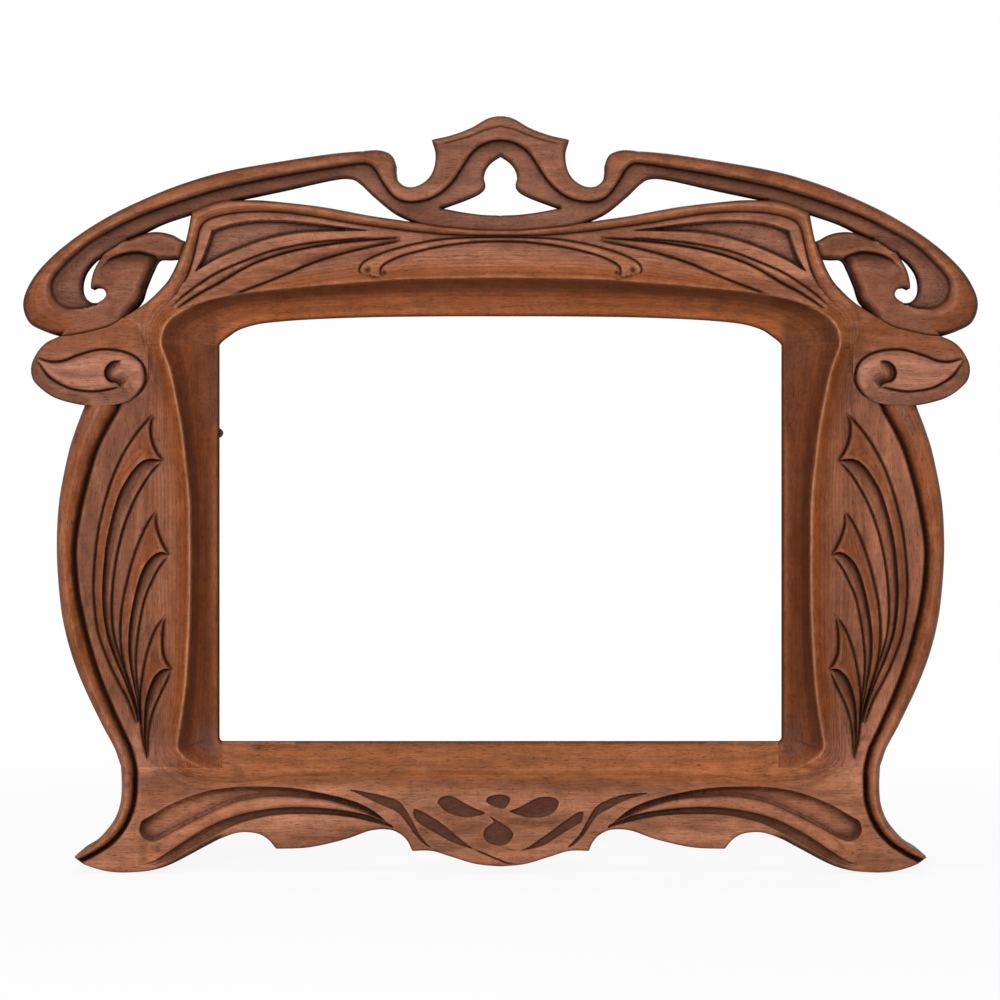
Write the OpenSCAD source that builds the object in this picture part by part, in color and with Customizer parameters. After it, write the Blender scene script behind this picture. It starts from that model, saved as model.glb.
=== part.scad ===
// Carved walnut picture frame with a pierced whiplash crest, empty and ready for a picture.
// It is drawn lying on its back, as on a carver's bench, and then stood up facing -Y:
// x runs across, y runs up the frame, and every height is measured from the flat back.

/* [Opening] */
// Width of the sight opening between the stiles
sight_w = 389; // [350:1:440]
// Height of the sight opening on the centre line
sight_h = 294; // [270:1:340]
// Depth of the rebate that takes glass, picture and backing
rebate_depth = 12; // [10:0.5:13]
// How far the rebate runs behind the sight edge
rebate_w = 6; // [4:0.5:8]
// Thickness of the lip in front of the rebate
lip_t = 8; // [6:0.5:9]
// How far the rebate rises above the crown of the arch
crown_cover = 3; // [2:0.5:6]

/* [Carving heights] */
// Ridge beside the cove, the highest line of the frame
ridge_h = 30; // [28:0.5:34]
// Face of the two rails
rail_h = 20; // [19:0.5:22]
// Sunk field round the leaves of the stiles
field_h = 17; // [16:0.5:18]
// Top of the bead along the outside of the stiles
bead_h = 21; // [20:0.5:23]
// Bottom of the grooves beside the beads
groove_h = 14; // [13.5:0.5:15]
// Rise of a leaf above the field round it
leaf_rise = 3.5; // [2:0.5:5]
// Lower face of the crest
crest_h = 15; // [13:0.5:17]
// Rise of the scroll in each volute above the lower face
scroll_rise = 3; // [2:0.5:4]
// Top of the raised band of the crest
band_h = 21; // [19:0.5:24]
// Height of the bead round the outside of the top rail
rim_h = 23; // [22:0.5:25]
// Floor of the recesses in the apron
recess_h = 15; // [14:0.5:17]

/* [Wood joints] */
// Thickness of the stile tenons
tenon_t = 8; // [6:0.5:9]
// Wood behind the tenons
tenon_cheek = 4; // [3:0.5:5]
// Width of the upper tenons
upper_tenon_w = 30; // [24:1:32]
// Distance of the middle of the upper tenons from the sight edge
upper_tenon_inset = 27; // [26:0.5:28]
// Width of the lower tenons
lower_tenon_w = 36; // [28:1:38]
// Distance of the middle of the lower tenons from the sight edge
lower_tenon_inset = 35; // [31:0.5:37]
// Length of the tenons beyond the shoulder
tenon_len = 25; // [20:1:28]
// Room for glue at the bottom of each mortise
mortise_room = 1; // [0.5:0.5:2]
// Diameter of the pegs through the tenons
peg_d = 5; // [4:0.5:6]
// Depth of the pegs from the back
peg_depth = 13; // [12.5:0.5:13.5]
// Distance between the two pegs of a tenon
peg_spacing = 16; // [12:1:18]
// Distance of the pegs from the shoulder
peg_offset = 11; // [9:1:14]
// Diameter of the crest dowels
dowel_d = 6; // [5:0.5:7]
// Length of the crest dowels
dowel_len = 20; // [16:1:22]

/* [Turn buttons] */
// Width of a turn button
button_w = 6.5; // [5:0.5:8]
// Thickness of a turn button
button_t = 1.2; // [0.8:0.1:2]
// Distance from the pivot to the tip
button_reach = 15.5; // [15:0.5:20]
// Distance from the pivot to the tail
button_tail = 6; // [5:0.5:8]
// Distance of the pivot from the sight edge
button_inset = 14; // [12:0.5:16]
// Diameter of the button screws
button_screw_d = 2.6; // [2:0.2:3.2]
// Diameter of the button screw heads
button_head_d = 5.6; // [5:0.2:6.4]
// Height of the button screw heads
button_head_h = 1.6; // [1.2:0.1:2]
// Running clearance of the turn buttons
button_clear = 0.1; // [0.05:0.05:0.2]
// Height of the lower buttons above the sill
lower_button_up = 79.5; // [50:0.5:110]
// Distance of the upper buttons below the upper joints of the stiles
upper_button_down = 60.5; // [45:0.5:100]

/* [Hangers] */
// Width of a hanger strap
strap_w = 10; // [8:0.5:14]
// Length of a hanger strap below its ring
strap_len = 30; // [28:1:36]
// Thickness of the strap metal
strap_t = 1.2; // [0.8:0.1:1.6]
// Wire diameter of the hanging rings
wire_d = 2.5; // [2:0.1:3]
// Half width of the ring, at the centre of its wire
ring_r = 9; // [8.5:0.5:12]
// Straight side of the ring before its round end
ring_side = 6; // [4:0.5:9]
// Running clearance between ring and strap
ring_clear = 0.1; // [0.05:0.05:0.2]
// Diameter of the strap screws
strap_screw_d = 3; // [2.4:0.2:3.6]
// Diameter of the strap screw heads
strap_head_d = 6; // [5:0.2:6.6]
// Height of the strap screw heads
strap_head_h = 1.8; // [1.4:0.1:2.2]
// Length of all the screws in the wood
screw_len = 11; // [9:0.5:12]
// Distance of the straps from the sight edge
strap_inset = 38; // [30:1:46]
// Distance of the ring pivots below the upper joints of the stiles
strap_down = 25; // [16:1:60]

/* [Hidden] */
$fn = 48;

walnut = [0.42, 0.23, 0.15];
walnut_dark = [0.36, 0.20, 0.13];
iron = [0.16, 0.14, 0.13];
steel = [0.62, 0.60, 0.56];

// Steps between two hand-set points of a curve
curve_steps = 3;
// Opening that the outlines below were set out for: its width, its height and the level of its spring
drawn_opening = [389, 294, 364.5];
drawn_half = drawn_opening.x / 2;
drawn_spring = drawn_opening.z;
// Levels of the joints: stile on bottom rail, sill, and top rail on stile
seat_y = 73;
sill_y = 90.5;
spring_y = drawn_spring + sight_h - drawn_opening.y;
half_w = sight_w / 2;
lip_h = rebate_depth + lip_t;
// Radius of the small fillet in the lower corners of the opening
corner_r = 2.8;
// Amount by which one piece is cut past another so that no skin is left
over = 1;
// Level inside the wood from which leaves and mouldings rise
root_h = 8;

// Point at share t between b and c on the smooth curve through a, b, c and d
function between(a, b, c, d, t) =
    0.5 * (2 * b + (c - a) * t + (2 * a - 5 * b + 4 * c - d) * t * t + (3 * b - 3 * c + d - a) * t * t * t);

// Smooth curve through hand-set points or hand-set sections
function curve(p, steps = curve_steps) = let (m = len(p) - 1) [
    for (i = [0 : m - 1]) for (s = [0 : steps - 1])
        between(p[max(i - 1, 0)], p[i], p[i + 1], p[min(i + 2, m)], s / steps),
    p[m]
];

// The drawing stretches between the sight edges and keeps its carved members at their width
function fit_x(x) = abs(x) < drawn_half ? x * half_w / drawn_half : x + sign(x) * (half_w - drawn_half);
function fit_y(y) =
    y < sill_y ? y
    : y < drawn_spring ? sill_y + (y - sill_y) * (spring_y - sill_y) / (drawn_spring - sill_y)
    : y + spring_y - drawn_spring;
function fit(p) = [fit_x(p.x), fit_y(p.y)];
function fitted(points) = [for (p = points) fit(p)];
function drawn(points, steps = curve_steps) = fitted(curve(points, steps));

// List turned end for end, and its mirror image on the other side of the frame
function back_to_front(p) = [for (i = [len(p) - 1 : -1 : 0]) p[i]];
function other_side(p) = [for (i = [len(p) - 1 : -1 : 0]) [-p[i].x, p[i].y]];
function mix(a, b, t) = a + (b - a) * t;

// Edges that two boards share, set out once
shoulder_seat = drawn([[-304, 370.5], [-295, 371], [-278.5, 374.5], [-268, 378], [-260, 383.5]]);
rail_side_low = drawn([[-260, 383.5], [-244, 394], [-231.5, 406.5], [-226, 415.5], [-222, 424.5]]);
scroll_touch = fitted([[-222, 424.5], [-217.5, 436]]);
rail_side_high = drawn([[-217.5, 436], [-215.5, 445], [-213.5, 456]]);
peak_seat = drawn([[-213.5, 456], [-204, 460], [-195, 463], [-186.5, 464.5]]);
base_seat = drawn([[-57.5, 449], [-43, 446.5], [-28, 445], [-13, 443.7], [0, 443.5]]);
ear_scribe = drawn([
    [-288, 323], [-278.5, 322.5], [-268, 323], [-257.5, 325.5], [-249.5, 330.5], [-244.5, 337.5], [-243, 345]
]);
scribe_top = fit([-243, drawn_spring]);

// Rest of the top rail's outline, left half
ear_edge = drawn([
    [-304, 370.5], [-313.5, 366], [-320, 359], [-324, 350], [-323, 341], [-317, 334], [-308, 328],
    [-297, 324.5], [-288, 323]
]);
rail_brow = drawn([
    [-186.5, 464.5], [-168, 464.5], [-155, 463.5], [-135.5, 461.5], [-117.5, 459], [-88, 453.5], [-57.5, 449]
]);

// Rest of the crest's outline, left half
crest_brow = drawn([[0, 523], [-9, 521], [-20.5, 514.5], [-34, 509.5], [-47.5, 506.5]]);
crest_notch = drawn([
    [-47.5, 506.5], [-45, 497], [-46, 487], [-50, 479.5], [-57.5, 474.5], [-65, 474], [-70.5, 478],
    [-72, 484], [-72.5, 490.5], [-76, 496.5], [-84.5, 499.5], [-95.5, 499]
]);
limb_top = drawn([
    [-95.5, 499], [-117.5, 497], [-151, 492], [-190, 485], [-221, 476], [-249.5, 464.5], [-273.5, 452.5],
    [-294.5, 439], [-312, 424.5], [-324.5, 409.5], [-330.5, 394], [-326.5, 380.5], [-315.5, 374],
    [-304, 370.5]
]);
scroll_edge = drawn([
    [-260, 383.5], [-249.5, 394], [-245.5, 405], [-240.5, 417], [-236.5, 423.5], [-229, 424], [-222, 424.5]
]);
upper_gap = drawn([
    [-217.5, 436], [-221, 437.5], [-226.5, 440.5], [-235, 442.5], [-244.5, 442], [-257, 437.5]
]);
limb_low = drawn([[-257, 437.5], [-246.5, 443], [-233, 449.5], [-213.5, 456]]);
limb_under = drawn([
    [-186.5, 464.5], [-151, 472], [-117.5, 479.5], [-104.5, 480.5], [-97.5, 477], [-88, 468], [-73, 456],
    [-57.5, 449]
]);
eye_hole = drawn([
    [-274.5, 427], [-281, 423], [-287.5, 415], [-290, 406.5], [-289, 399], [-284, 394.5], [-278.5, 394],
    [-274, 396.5], [-272.5, 400], [-275, 403.5], [-279.5, 404.5], [-283, 403.5], [-282.5, 410.5],
    [-280, 418], [-274.5, 427]
]);
piercing = drawn([
    [0, 496], [-6, 492], [-10, 487], [-11.5, 481], [-10.5, 475], [-14, 470.5], [-22, 466.5], [-34, 462],
    [-41, 459.5]
]);
piercing_floor = drawn([[-41, 459.5], [-28, 457], [-13, 455], [0, 454.5]]);

// Outline of the bottom rail, left half, from the seat of the stile down to the middle of the apron
neck = drawn([
    [-263, 73], [-262.5, 58.5], [-263.5, 47], [-267, 37], [-273, 28.5], [-280, 21.5], [-288, 16.5],
    [-294.5, 11]
]);
foot = drawn([
    [-294.5, 11], [-288, 6], [-276.5, 2], [-266, 0.3], [-254, 0.3], [-240, 1.8], [-226.5, 6], [-205.5, 17],
    [-192, 24], [-180, 27.8], [-168, 27], [-160.5, 23], [-155, 16.5]
]);
lobe = drawn([
    [-155, 16.5], [-132, 17.5], [-107.5, 23], [-90, 29], [-77, 29.7], [-69, 26.5], [-64, 21.5], [-61, 15]
]);
apron = drawn([[-61, 15], [-47.5, 15], [-34, 11], [-17, 6], [0, 4.3]]);

// Curves joined end to end, and a left half continued over the centre line
function last(p) = p[len(p) - 1];
function without_last(p) = [for (i = [0 : len(p) - 2]) p[i]];
function without_first(p) = [for (i = [1 : len(p) - 1]) p[i]];
function chain(parts) = [for (p = parts) each without_last(p)];
function over_line(p) = concat(p, [for (i = [len(p) - 2 : -1 : 0]) [-p[i].x, p[i].y]]);

// The frame stands on the lowest point of its feet, halfway between its front and its hardware
ground_y = min([for (p = foot) p.y]);
wire_r = wire_d / 2;
knuckle_r = wire_r + ring_clear + strap_t;
hardware_h = 2 * knuckle_r;
back_y = (ridge_h - hardware_h) / 2;

// Places of the joinery and the hardware on the left side, all set out from the opening
haunch_x = half_w - corner_r;
upper_tenon_x = -half_w - upper_tenon_inset;
lower_tenon_x = -half_w - lower_tenon_inset;
peg_spots = [
    for (s = [-1, 1]) each [
        [upper_tenon_x + s * peg_spacing / 2, spring_y + peg_offset],
        [lower_tenon_x + s * peg_spacing / 2, seat_y - peg_offset]
    ]
];
dowel_spots = [for (p = [[-284, 373.3], [-200, 461.5], [-50, 447.6]]) fit(p)];
button_x = -half_w - button_inset;
upper_spot = [button_x, spring_y - upper_button_down];
lower_spot = [button_x, sill_y + lower_button_up];
left_button_spots = [upper_spot, lower_spot];
strap_x = -half_w - strap_inset;
ring_y = spring_y - strap_down;
// Strap screws: one inside the hanging ring, one near the foot of the strap
left_strap_screw_spots = [
    [strap_x, ring_y - (ring_side + ring_r) / 2], [strap_x, ring_y - strap_len + strap_w / 2]
];

module stand_up() {
    translate([0, back_y, -ground_y]) rotate([90, 0, 0]) children();
}

module both_sides() {
    children();
    mirror([1, 0, 0]) children();
}

// Board of even thickness, sawn to an outline
module board(outline, thick) {
    linear_extrude(thick) polygon(outline);
}

// Straight-sided recess from a floor height upwards
module recess(outline, floor_h) {
    translate([0, 0, floor_h]) linear_extrude(ridge_h) polygon(outline);
}

// Faces that close the end of a hollow cut
function fan(loop) = [for (j = [1 : len(loop) - 2]) [0, j, j + 1]];

// Faces that close the end of a standing section, found by cutting off one corner after another.
// Order runs over the section from its left foot to its right foot.
function corners_cut(loop, order, kept, next, faces) =
    let (n = len(kept), a = kept[n - 2], b = kept[n - 1], c = order[next])
    n > 1 && turns_down(loop[a], loop[b], loop[c], loop[order[len(order) - 1]] - loop[order[0]])
        ? corners_cut(loop, order, without_last(kept), next, concat(faces, [[a, b, c]]))
    : next + 1 < len(order) ? corners_cut(loop, order, concat(kept, [c]), next + 1, faces)
    : faces;
function turns_down(a, b, c, base) = let (ab = b - a, bc = c - b)
    (ab * base) * bc.z - ab.z * (bc * base) < 0;
function standing(loop) =
    let (k = len(loop) - 2, order = [k + 1, each [for (j = [0 : k]) j]])
    corners_cut(loop, order, [k + 1], 1, []);

// Solid stitched over a row of loops with the same number of points, closed by the faces near and far
module stitched(loops, near, far) {
    m = len(loops[0]);
    n = len(loops);
    walls = [
        for (i = [0 : n - 2]) for (j = [0 : m - 1])
            let (a = i * m + j, b = i * m + (j + 1) % m)
            each [[a, b + m, b], [a, a + m, b + m]]
    ];
    far_end = [for (f = far) [for (v = back_to_front(f)) v + (n - 1) * m]];
    polyhedron([for (s = loops) each s], concat(walls, near, far_end));
}

// Sections that run left to right across the front, each a list of [x, y, height], made solid down
// to a flat underside
module skin(sections, underside) {
    k = len(sections[0]);
    loops = [
        for (s = sections) concat(s, [[s[k - 1].x, s[k - 1].y, underside], [s[0].x, s[0].y, underside]])
    ];
    stitched(loops, standing(loops[0]), standing(last(loops)));
}

// Point at share u along the straight steps of a section's plan points
function along(plan, u) = let (i = min(floor(u), len(plan) - 2)) mix(plan[i], plan[i + 1], u - i);

// Moulding between edge lines: rows holds the plan points of each section, and profile holds
// [place, height] pairs, place 0 on the first line, 1 on the second and so on
module moulding(rows, profile, underside) {
    skin([
        for (row = rows) [
            for (f = profile) let (p = along(row, f[0])) [p.x, p.y, f[1]]
        ]
    ], underside);
}

// Rows of the left half continued over the centre line to the right
function over_centre(rows) = concat(rows, [
    for (i = [len(rows) - 2 : -1 : 0]) [for (p = rows[i]) [-p.x, p.y]]
]);
function fitted_rows(rows) = [for (row = rows) fitted(row)];

// Cutter for a groove along a line, vee-shaped and narrowing towards both ends
module groove(path, width, top, depth) {
    n = len(path) - 1;
    loops = [
        for (i = [0 : n])
            let (
                d = path[min(i + 1, n)] - path[max(i - 1, 0)],
                side = [-d.y, d.x] / norm(d),
                sunk = depth * sin(180 * mix(0.06, 0.94, i / n)),
                reach = side * (sunk + over) * width / depth / 2,
                l = path[i] + reach,
                r = path[i] - reach
            )
            [[l.x, l.y, top + over], [r.x, r.y, top + over], [path[i].x, path[i].y, top - sunk]]
    ];
    stitched(loops, fan(loops[0]), fan(last(loops)));
}

// Heights across a bead, from its outer edge at 0 to its groove at 1
bead_profile = [
    [0, groove_h - 4], [0.12, bead_h - 4], [0.35, bead_h - 0.6], [0.55, bead_h], [0.8, bead_h - 2.5],
    [1, groove_h]
];

// Stiles

// Control sections of the left stile, from the seat up: level, outer edge, foot of the bead, ridge
// and how far the full carving has grown out of the rail
stile_marks = [
    [73, -263, -253, -205, 0.1], [78, -264.8, -254, -216, 0.4], [84, -266.8, -255.7, -221, 0.7],
    [90.5, -270, -258.5, -222.5, 0.9], [101.5, -276, -263.7, -220.5, 1], [126.5, -288, -274.5, -217, 1],
    [149.5, -297, -282.5, -215.3, 1], [174.5, -303.3, -289, -214, 1], [199.5, -306.3, -293.5, -213.5, 1],
    [227, -307.5, -294.5, -213.5, 1], [257, -305.8, -289.5, -214, 1], [287.5, -300, -281.3, -217, 1],
    [304.5, -295, -274, -219, 1], [323, -288, -264, -222.3, 1], [345, -279, -257, -227, 1],
    [drawn_spring, -272, -252, -233.5, 1]
];

// Front of the stile at one control section, as [x, height] pairs
function stile_front(mark) =
    let (
        bead = mark[2] - mark[1],
        face = mark[3] - mark[2],
        cove = -drawn_half - mark[3],
        field = mix(rail_h, field_h, mark[4]),
        ridge = mix(rail_h + 2, ridge_h, mark[4])
    ) [
        for (f = bead_profile) [mark[1] + f[0] * bead, f[1]],
        [mark[2] + 0.06 * face, field - 1], [mark[2] + 0.4 * face, field], [mark[2] + 0.6 * face, field + 1],
        [mark[2] + 0.75 * face, mix(field, ridge, 0.35)], [mark[2] + 0.9 * face, mix(field, ridge, 0.8)],
        [mark[3], ridge], [mark[3] + 0.12 * cove, mix(lip_h, ridge, 0.5)],
        [mark[3] + 0.35 * cove, mix(lip_h, ridge, 0.15)], [mark[3] + 0.7 * cove, lip_h - 0.4],
        [-drawn_half, lip_h]
    ];

// Height of the stile's face at a drawn point
function stile_face(p) =
    let (mark = [for (c = [0 : 4]) c == 0 ? p.y : lookup(p.y, [for (s = stile_marks) [s[0], s[c]]])])
    lookup(p.x, stile_front(mark));

// The three leaves of a stile from tip to root, each row its left edge, rib and right edge
leaf_rows = [
    [
        [[-238, 318.5], [-237.7, 318], [-237.3, 317.5]], [[-248, 305.5], [-243, 303], [-241.5, 305.5]],
        [[-255, 296.5], [-247.5, 293], [-240, 292]], [[-259, 289.5], [-250, 285.5], [-234.5, 285]],
        [[-263, 281.5], [-255.5, 278.5], [-241, 275.5]], [[-267.5, 270.5], [-261, 267.5], [-247.5, 265.5]],
        [[-273.5, 250.5], [-268, 248.5], [-257.5, 249]], [[-277.5, 230], [-272, 228.5], [-264, 228.5]],
        [[-280.5, 205.5], [-275, 205.5], [-268, 205.5]], [[-281, 185], [-276, 185], [-269.5, 185]],
        [[-278.5, 164], [-273.5, 164], [-268.5, 165.5]], [[-273, 147], [-268, 149], [-266, 152.5]],
        [[-264, 126], [-262, 128.5], [-260.5, 131]]
    ],
    [
        [[-238.2, 250], [-237.7, 250], [-237.2, 249.8]], [[-243, 241], [-238.5, 239.5], [-237.4, 239.5]],
        [[-247.5, 232], [-242, 229], [-235, 229.5]], [[-250, 226.5], [-242.5, 223], [-229, 220]],
        [[-253, 219.5], [-246, 216], [-232, 214]], [[-255.5, 209], [-249.5, 206.5], [-237, 206.5]],
        [[-259.5, 195.5], [-253.5, 192.5], [-243, 194]], [[-262.5, 181.5], [-256.5, 180], [-248, 181.5]],
        [[-263.5, 164], [-259, 163.5], [-253, 166]], [[-263, 150.5], [-259.5, 150], [-255.5, 150.5]],
        [[-261, 136.5], [-258.5, 136], [-255.5, 138.5]], [[-256, 119.5], [-254.5, 119], [-252.5, 123]],
        [[-251, 107.5], [-250.5, 107.3], [-250, 109]]
    ],
    [
        [[-232, 178], [-231.5, 178], [-231, 178]], [[-237.5, 167.5], [-233.5, 166.5], [-232.2, 166.5]],
        [[-241.5, 155], [-236, 154], [-232.5, 154]], [[-245.5, 147], [-238, 144], [-227.5, 141.5]],
        [[-248, 138.5], [-241, 136], [-230, 134.5]], [[-248.8, 126], [-244, 123.5], [-236.5, 123.5]],
        [[-249.5, 116], [-246.5, 114.5], [-240.5, 115]], [[-249.5, 105.5], [-247.3, 104], [-243, 105.5]],
        [[-248, 92], [-246.5, 90.5], [-244, 92]], [[-245.3, 78], [-244.6, 77], [-243.8, 78]]
    ]
];
// Height of the edges of a leaf above the field
leaf_edge = 1;

module leaf(rows) {
    skin([
        for (row = curve(back_to_front(rows), 2)) [
            for (i = [0 : 2])
                let (p = row[i], f = fit(p))
                [f.x, f.y, stile_face(p) + (i == 1 ? leaf_rise : leaf_edge)]
        ]
    ], root_h);
}

module stile_skin() {
    skin([
        for (row = curve([for (mark = stile_marks) [for (f = stile_front(mark)) [f[0], mark[0], f[1]]]]))
            [for (p = row) [fit_x(p.x), fit_y(p.y), p.z]]
    ], 0);
}

// Wood that the round end of the ear takes from the top of the left stile
module ear_bed() {
    far = [-half_w - 130, scribe_top.y + over];
    translate([0, 0, -over]) board(concat(
        [[far.x, ear_scribe[0].y]], ear_scribe, [scribe_top, [scribe_top.x, far.y], far]
    ), ridge_h + 2 * over);
}

// Foot of the sight edge: it swells into a small fillet where it meets the sill
module corner_fillet() {
    centre = [-half_w + corner_r, sill_y + corner_r];
    board(concat(
        [[-half_w - over, sill_y + corner_r], [-half_w - over, seat_y], [-haunch_x, seat_y]],
        [for (a = [270 : -15 : 180]) centre + corner_r * [cos(a), sin(a)]]
    ), lip_h);
}

// Tenons on the ends of the left stile, or with extra length the mortises that take them
module tenons(extra) {
    translate([upper_tenon_x - upper_tenon_w / 2, spring_y - over, tenon_cheek])
        cube([upper_tenon_w, tenon_len + extra + over, tenon_t]);
    translate([lower_tenon_x - lower_tenon_w / 2, seat_y - tenon_len - extra, tenon_cheek])
        cube([lower_tenon_w, tenon_len + extra + over, tenon_t]);
}

module left_pegs() {
    for (spot = peg_spots) translate([spot.x, spot.y, 0]) cylinder(h = peg_depth, d = peg_d);
}

// Rebate for the picture, a plain rectangle behind the arched opening
module rebate() {
    translate([-half_w - rebate_w, sill_y - rebate_w, -over])
        cube([sight_w + 2 * rebate_w, sight_h + rebate_w + crown_cover, rebate_depth + over]);
}

module left_stile_wood() {
    difference() {
        union() {
            stile_skin();
            for (rows = leaf_rows) leaf(rows);
            corner_fillet();
            tenons(0);
        }
        ear_bed();
        rebate();
        left_pegs();
        for (spot = left_button_spots) translate([spot.x, spot.y, -over])
            cylinder(h = screw_len + over, d = button_screw_d);
        for (spot = left_strap_screw_spots) translate([spot.x, spot.y, -over])
            cylinder(h = screw_len + over, d = strap_screw_d);
    }
}

module left_stile() {
    color(walnut) stand_up() left_stile_wood();
}

module right_stile() {
    color(walnut) stand_up() mirror([1, 0, 0]) left_stile_wood();
}

// Top rail

// Sections of the arched moulding: outer edge of its band, ridge and sight edge
arch_rows = over_centre([
    [[-243, drawn_spring], [-233.5, drawn_spring], [-drawn_half, drawn_spring]],
    [[-241.5, 375], [-232.5, 373.5], [-192.5, 367]],
    [[-236, 385.5], [-227.5, 381.5], [-187.5, 370.8]], [[-225, 394], [-219, 387.5], [-182, 374.5]],
    [[-210, 400.5], [-206.5, 393], [-175, 377.2]], [[-190, 406], [-188.5, 397.8], [-166.5, 379.2]],
    [[-170, 410], [-170, 400.8], [-155, 380.6]], [[-143, 416], [-144, 403.4], [-137, 382]],
    [[-117.5, 422.5], [-117.5, 405.8], [-113.5, 383.1]], [[-88, 430], [-88, 408], [-87, 383.9]],
    [[-57.5, 434], [-57.5, 409.7], [-57.5, 384.3]], [[-28, 437], [-28, 410.3], [-28, 384.5]],
    [[0, 438], [0, 410.5], [0, 384.5]]
]);
arch_profile = [
    [0, rail_h - 0.5], [0.35, mix(rail_h, ridge_h, 0.3)], [0.7, mix(rail_h, ridge_h, 0.72)], [1, ridge_h],
    [1.12, mix(lip_h, ridge_h, 0.5)], [1.35, mix(lip_h, ridge_h, 0.15)], [1.7, lip_h - 0.4], [2, lip_h]
];

// Sections of the bead round the outside of the top rail
rim_rows = over_centre([
    [[-260, 383.5], [-252, 378]], [[-244, 394], [-236.5, 386]], [[-231.5, 406.5], [-223, 399.5]],
    [[-226, 415.5], [-216, 411]], [[-222, 424.5], [-211.5, 422]], [[-217.5, 436], [-208.5, 435]],
    [[-213.5, 456], [-206, 447.5]], [[-204, 460], [-199.5, 453]], [[-195, 463], [-191, 455.2]],
    [[-186.5, 464.5], [-182, 456.5]], [[-168, 464.5], [-166, 456.5]], [[-135.5, 461.5], [-134, 453.8]],
    [[-88, 453.5], [-87.5, 446.5]], [[-57.5, 449], [-56.5, 442.5]], [[-28, 445], [-28, 440]],
    [[0, 443.5], [0, 439]]
]);
rim_profile = [
    [0.1, rail_h - 2], [0.25, mix(rail_h, rim_h, 0.7)], [0.5, rim_h], [0.8, mix(rail_h, rim_h, 0.6)],
    [1, rail_h - 1]
];

// Sunk panel of the left shoulder
panel = chain([
    drawn([[-211, 415], [-207.5, 421.5], [-203.5, 431], [-201, 442]]),
    drawn([[-201, 442], [-182, 448.5], [-165, 450.5], [-148.5, 450.5], [-128.5, 449], [-107.5, 446],
        [-88, 443.5]]),
    drawn([[-88, 443.5], [-117.5, 442.5], [-135.5, 441], [-155, 437.5], [-175, 432], [-195, 423.5],
        [-211, 415]])
]);

// Lines cut with the vee tool
shoulder_lines = [
    drawn([[-214, 403], [-188, 414.5], [-162, 425.5], [-135.5, 432], [-117.5, 434], [-92, 436.5]], 2),
    drawn([[-246.5, 352], [-254.5, 357.5], [-262.5, 360], [-273.5, 361], [-282, 359.5], [-293, 356],
        [-301, 353.7], [-310, 353], [-317, 355]], 2),
    drawn([[-317.5, 351], [-310, 341.5], [-300, 335], [-287.5, 332.5], [-276.5, 333.5], [-268, 335.5],
        [-262, 335.5]], 2)
];
panel_line = drawn([[-81, 413], [-81.5, 419], [-57.5, 428], [-28, 434], [0, 436]], 2);
// Hollow in the eye of the ear's leaf
ear_eye = chain([
    drawn([[-262.5, 353.5], [-268.5, 352.5], [-272, 350], [-272.5, 345.5], [-269.5, 341], [-264.5, 338.5],
        [-261, 334.5]]),
    drawn([[-261, 334.5], [-261.5, 339.5], [-264.5, 342.5], [-266, 346.5], [-265, 350.5], [-262.5, 353.5]])
]);

module top_rail_wood() {
    half = concat([scribe_top], chain([
        back_to_front(ear_scribe), back_to_front(ear_edge), shoulder_seat, rail_side_low,
        scroll_touch, rail_side_high, peak_seat, rail_brow, base_seat
    ]));
    bed = [for (row = arch_rows) fit(along(row, 0.5))];
    outline = concat(half, [last(base_seat)], other_side(half), back_to_front(bed));
    difference() {
        union() {
            board(outline, rail_h);
            moulding(fitted_rows(curve(arch_rows, 2)), arch_profile, 0);
            moulding(fitted_rows(curve(rim_rows, 2)), rim_profile, root_h);
        }
        both_sides() {
            recess(panel, recess_h);
            recess(ear_eye, recess_h + 1);
            for (line = shoulder_lines) groove(line, 3, rail_h, 2.5);
        }
        groove(over_line(panel_line), 3, rail_h + 4, 5);
        both_sides() {
            tenons(mortise_room);
            left_pegs();
        }
        rebate();
        crest_dowel_shafts();
    }
}

module top_rail() {
    color(walnut) stand_up() top_rail_wood();
}

// Crest

// Sections of the raised band: its outer edge and the step down to the lower face
band_rows = over_centre([
    [[-315.5, 374], [-290, 390.5]], [[-326.5, 379.5], [-300, 390]], [[-331, 390], [-306.5, 392.5]],
    [[-329.5, 399], [-310, 397.5]], [[-324.5, 410], [-309.5, 406.5]], [[-312, 424.5], [-302.5, 417.5]],
    [[-294.5, 439], [-287.5, 432.5]], [[-273.5, 452.5], [-268, 444.5]], [[-249.5, 464.5], [-245.5, 455]],
    [[-221, 476], [-217.5, 465]], [[-190, 485], [-188, 473.5]], [[-151, 492], [-149.5, 481.5]],
    [[-117.5, 497], [-116.5, 487]], [[-95.5, 499], [-95.5, 490]], [[-84.5, 499.5], [-88.5, 488]],
    [[-76, 496.5], [-84.5, 482.5]], [[-72.3, 490], [-80.5, 476.5]], [[-72, 484], [-77, 471.5]],
    [[-70, 477.5], [-72, 466.5]], [[-65, 474], [-65, 463.5]], [[-57.5, 474.5], [-55.5, 464]],
    [[-50, 479.5], [-46, 467]], [[-46, 487], [-39, 471.5]], [[-45, 497], [-33.5, 477]],
    [[-47, 506], [-28, 485]], [[-34, 509.5], [-22.5, 493.5]], [[-20.5, 514.5], [-15.5, 501]],
    [[-8, 521.5], [-8, 504.5]], [[0, 523], [0, 506]]
]);
band_profile = [
    [0.06, crest_h - 1], [0.2, mix(crest_h, band_h, 0.8)], [0.42, band_h], [0.72, mix(crest_h, band_h, 0.85)],
    [0.92, mix(crest_h, band_h, 0.65)], [1, crest_h - 1]
];
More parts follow.
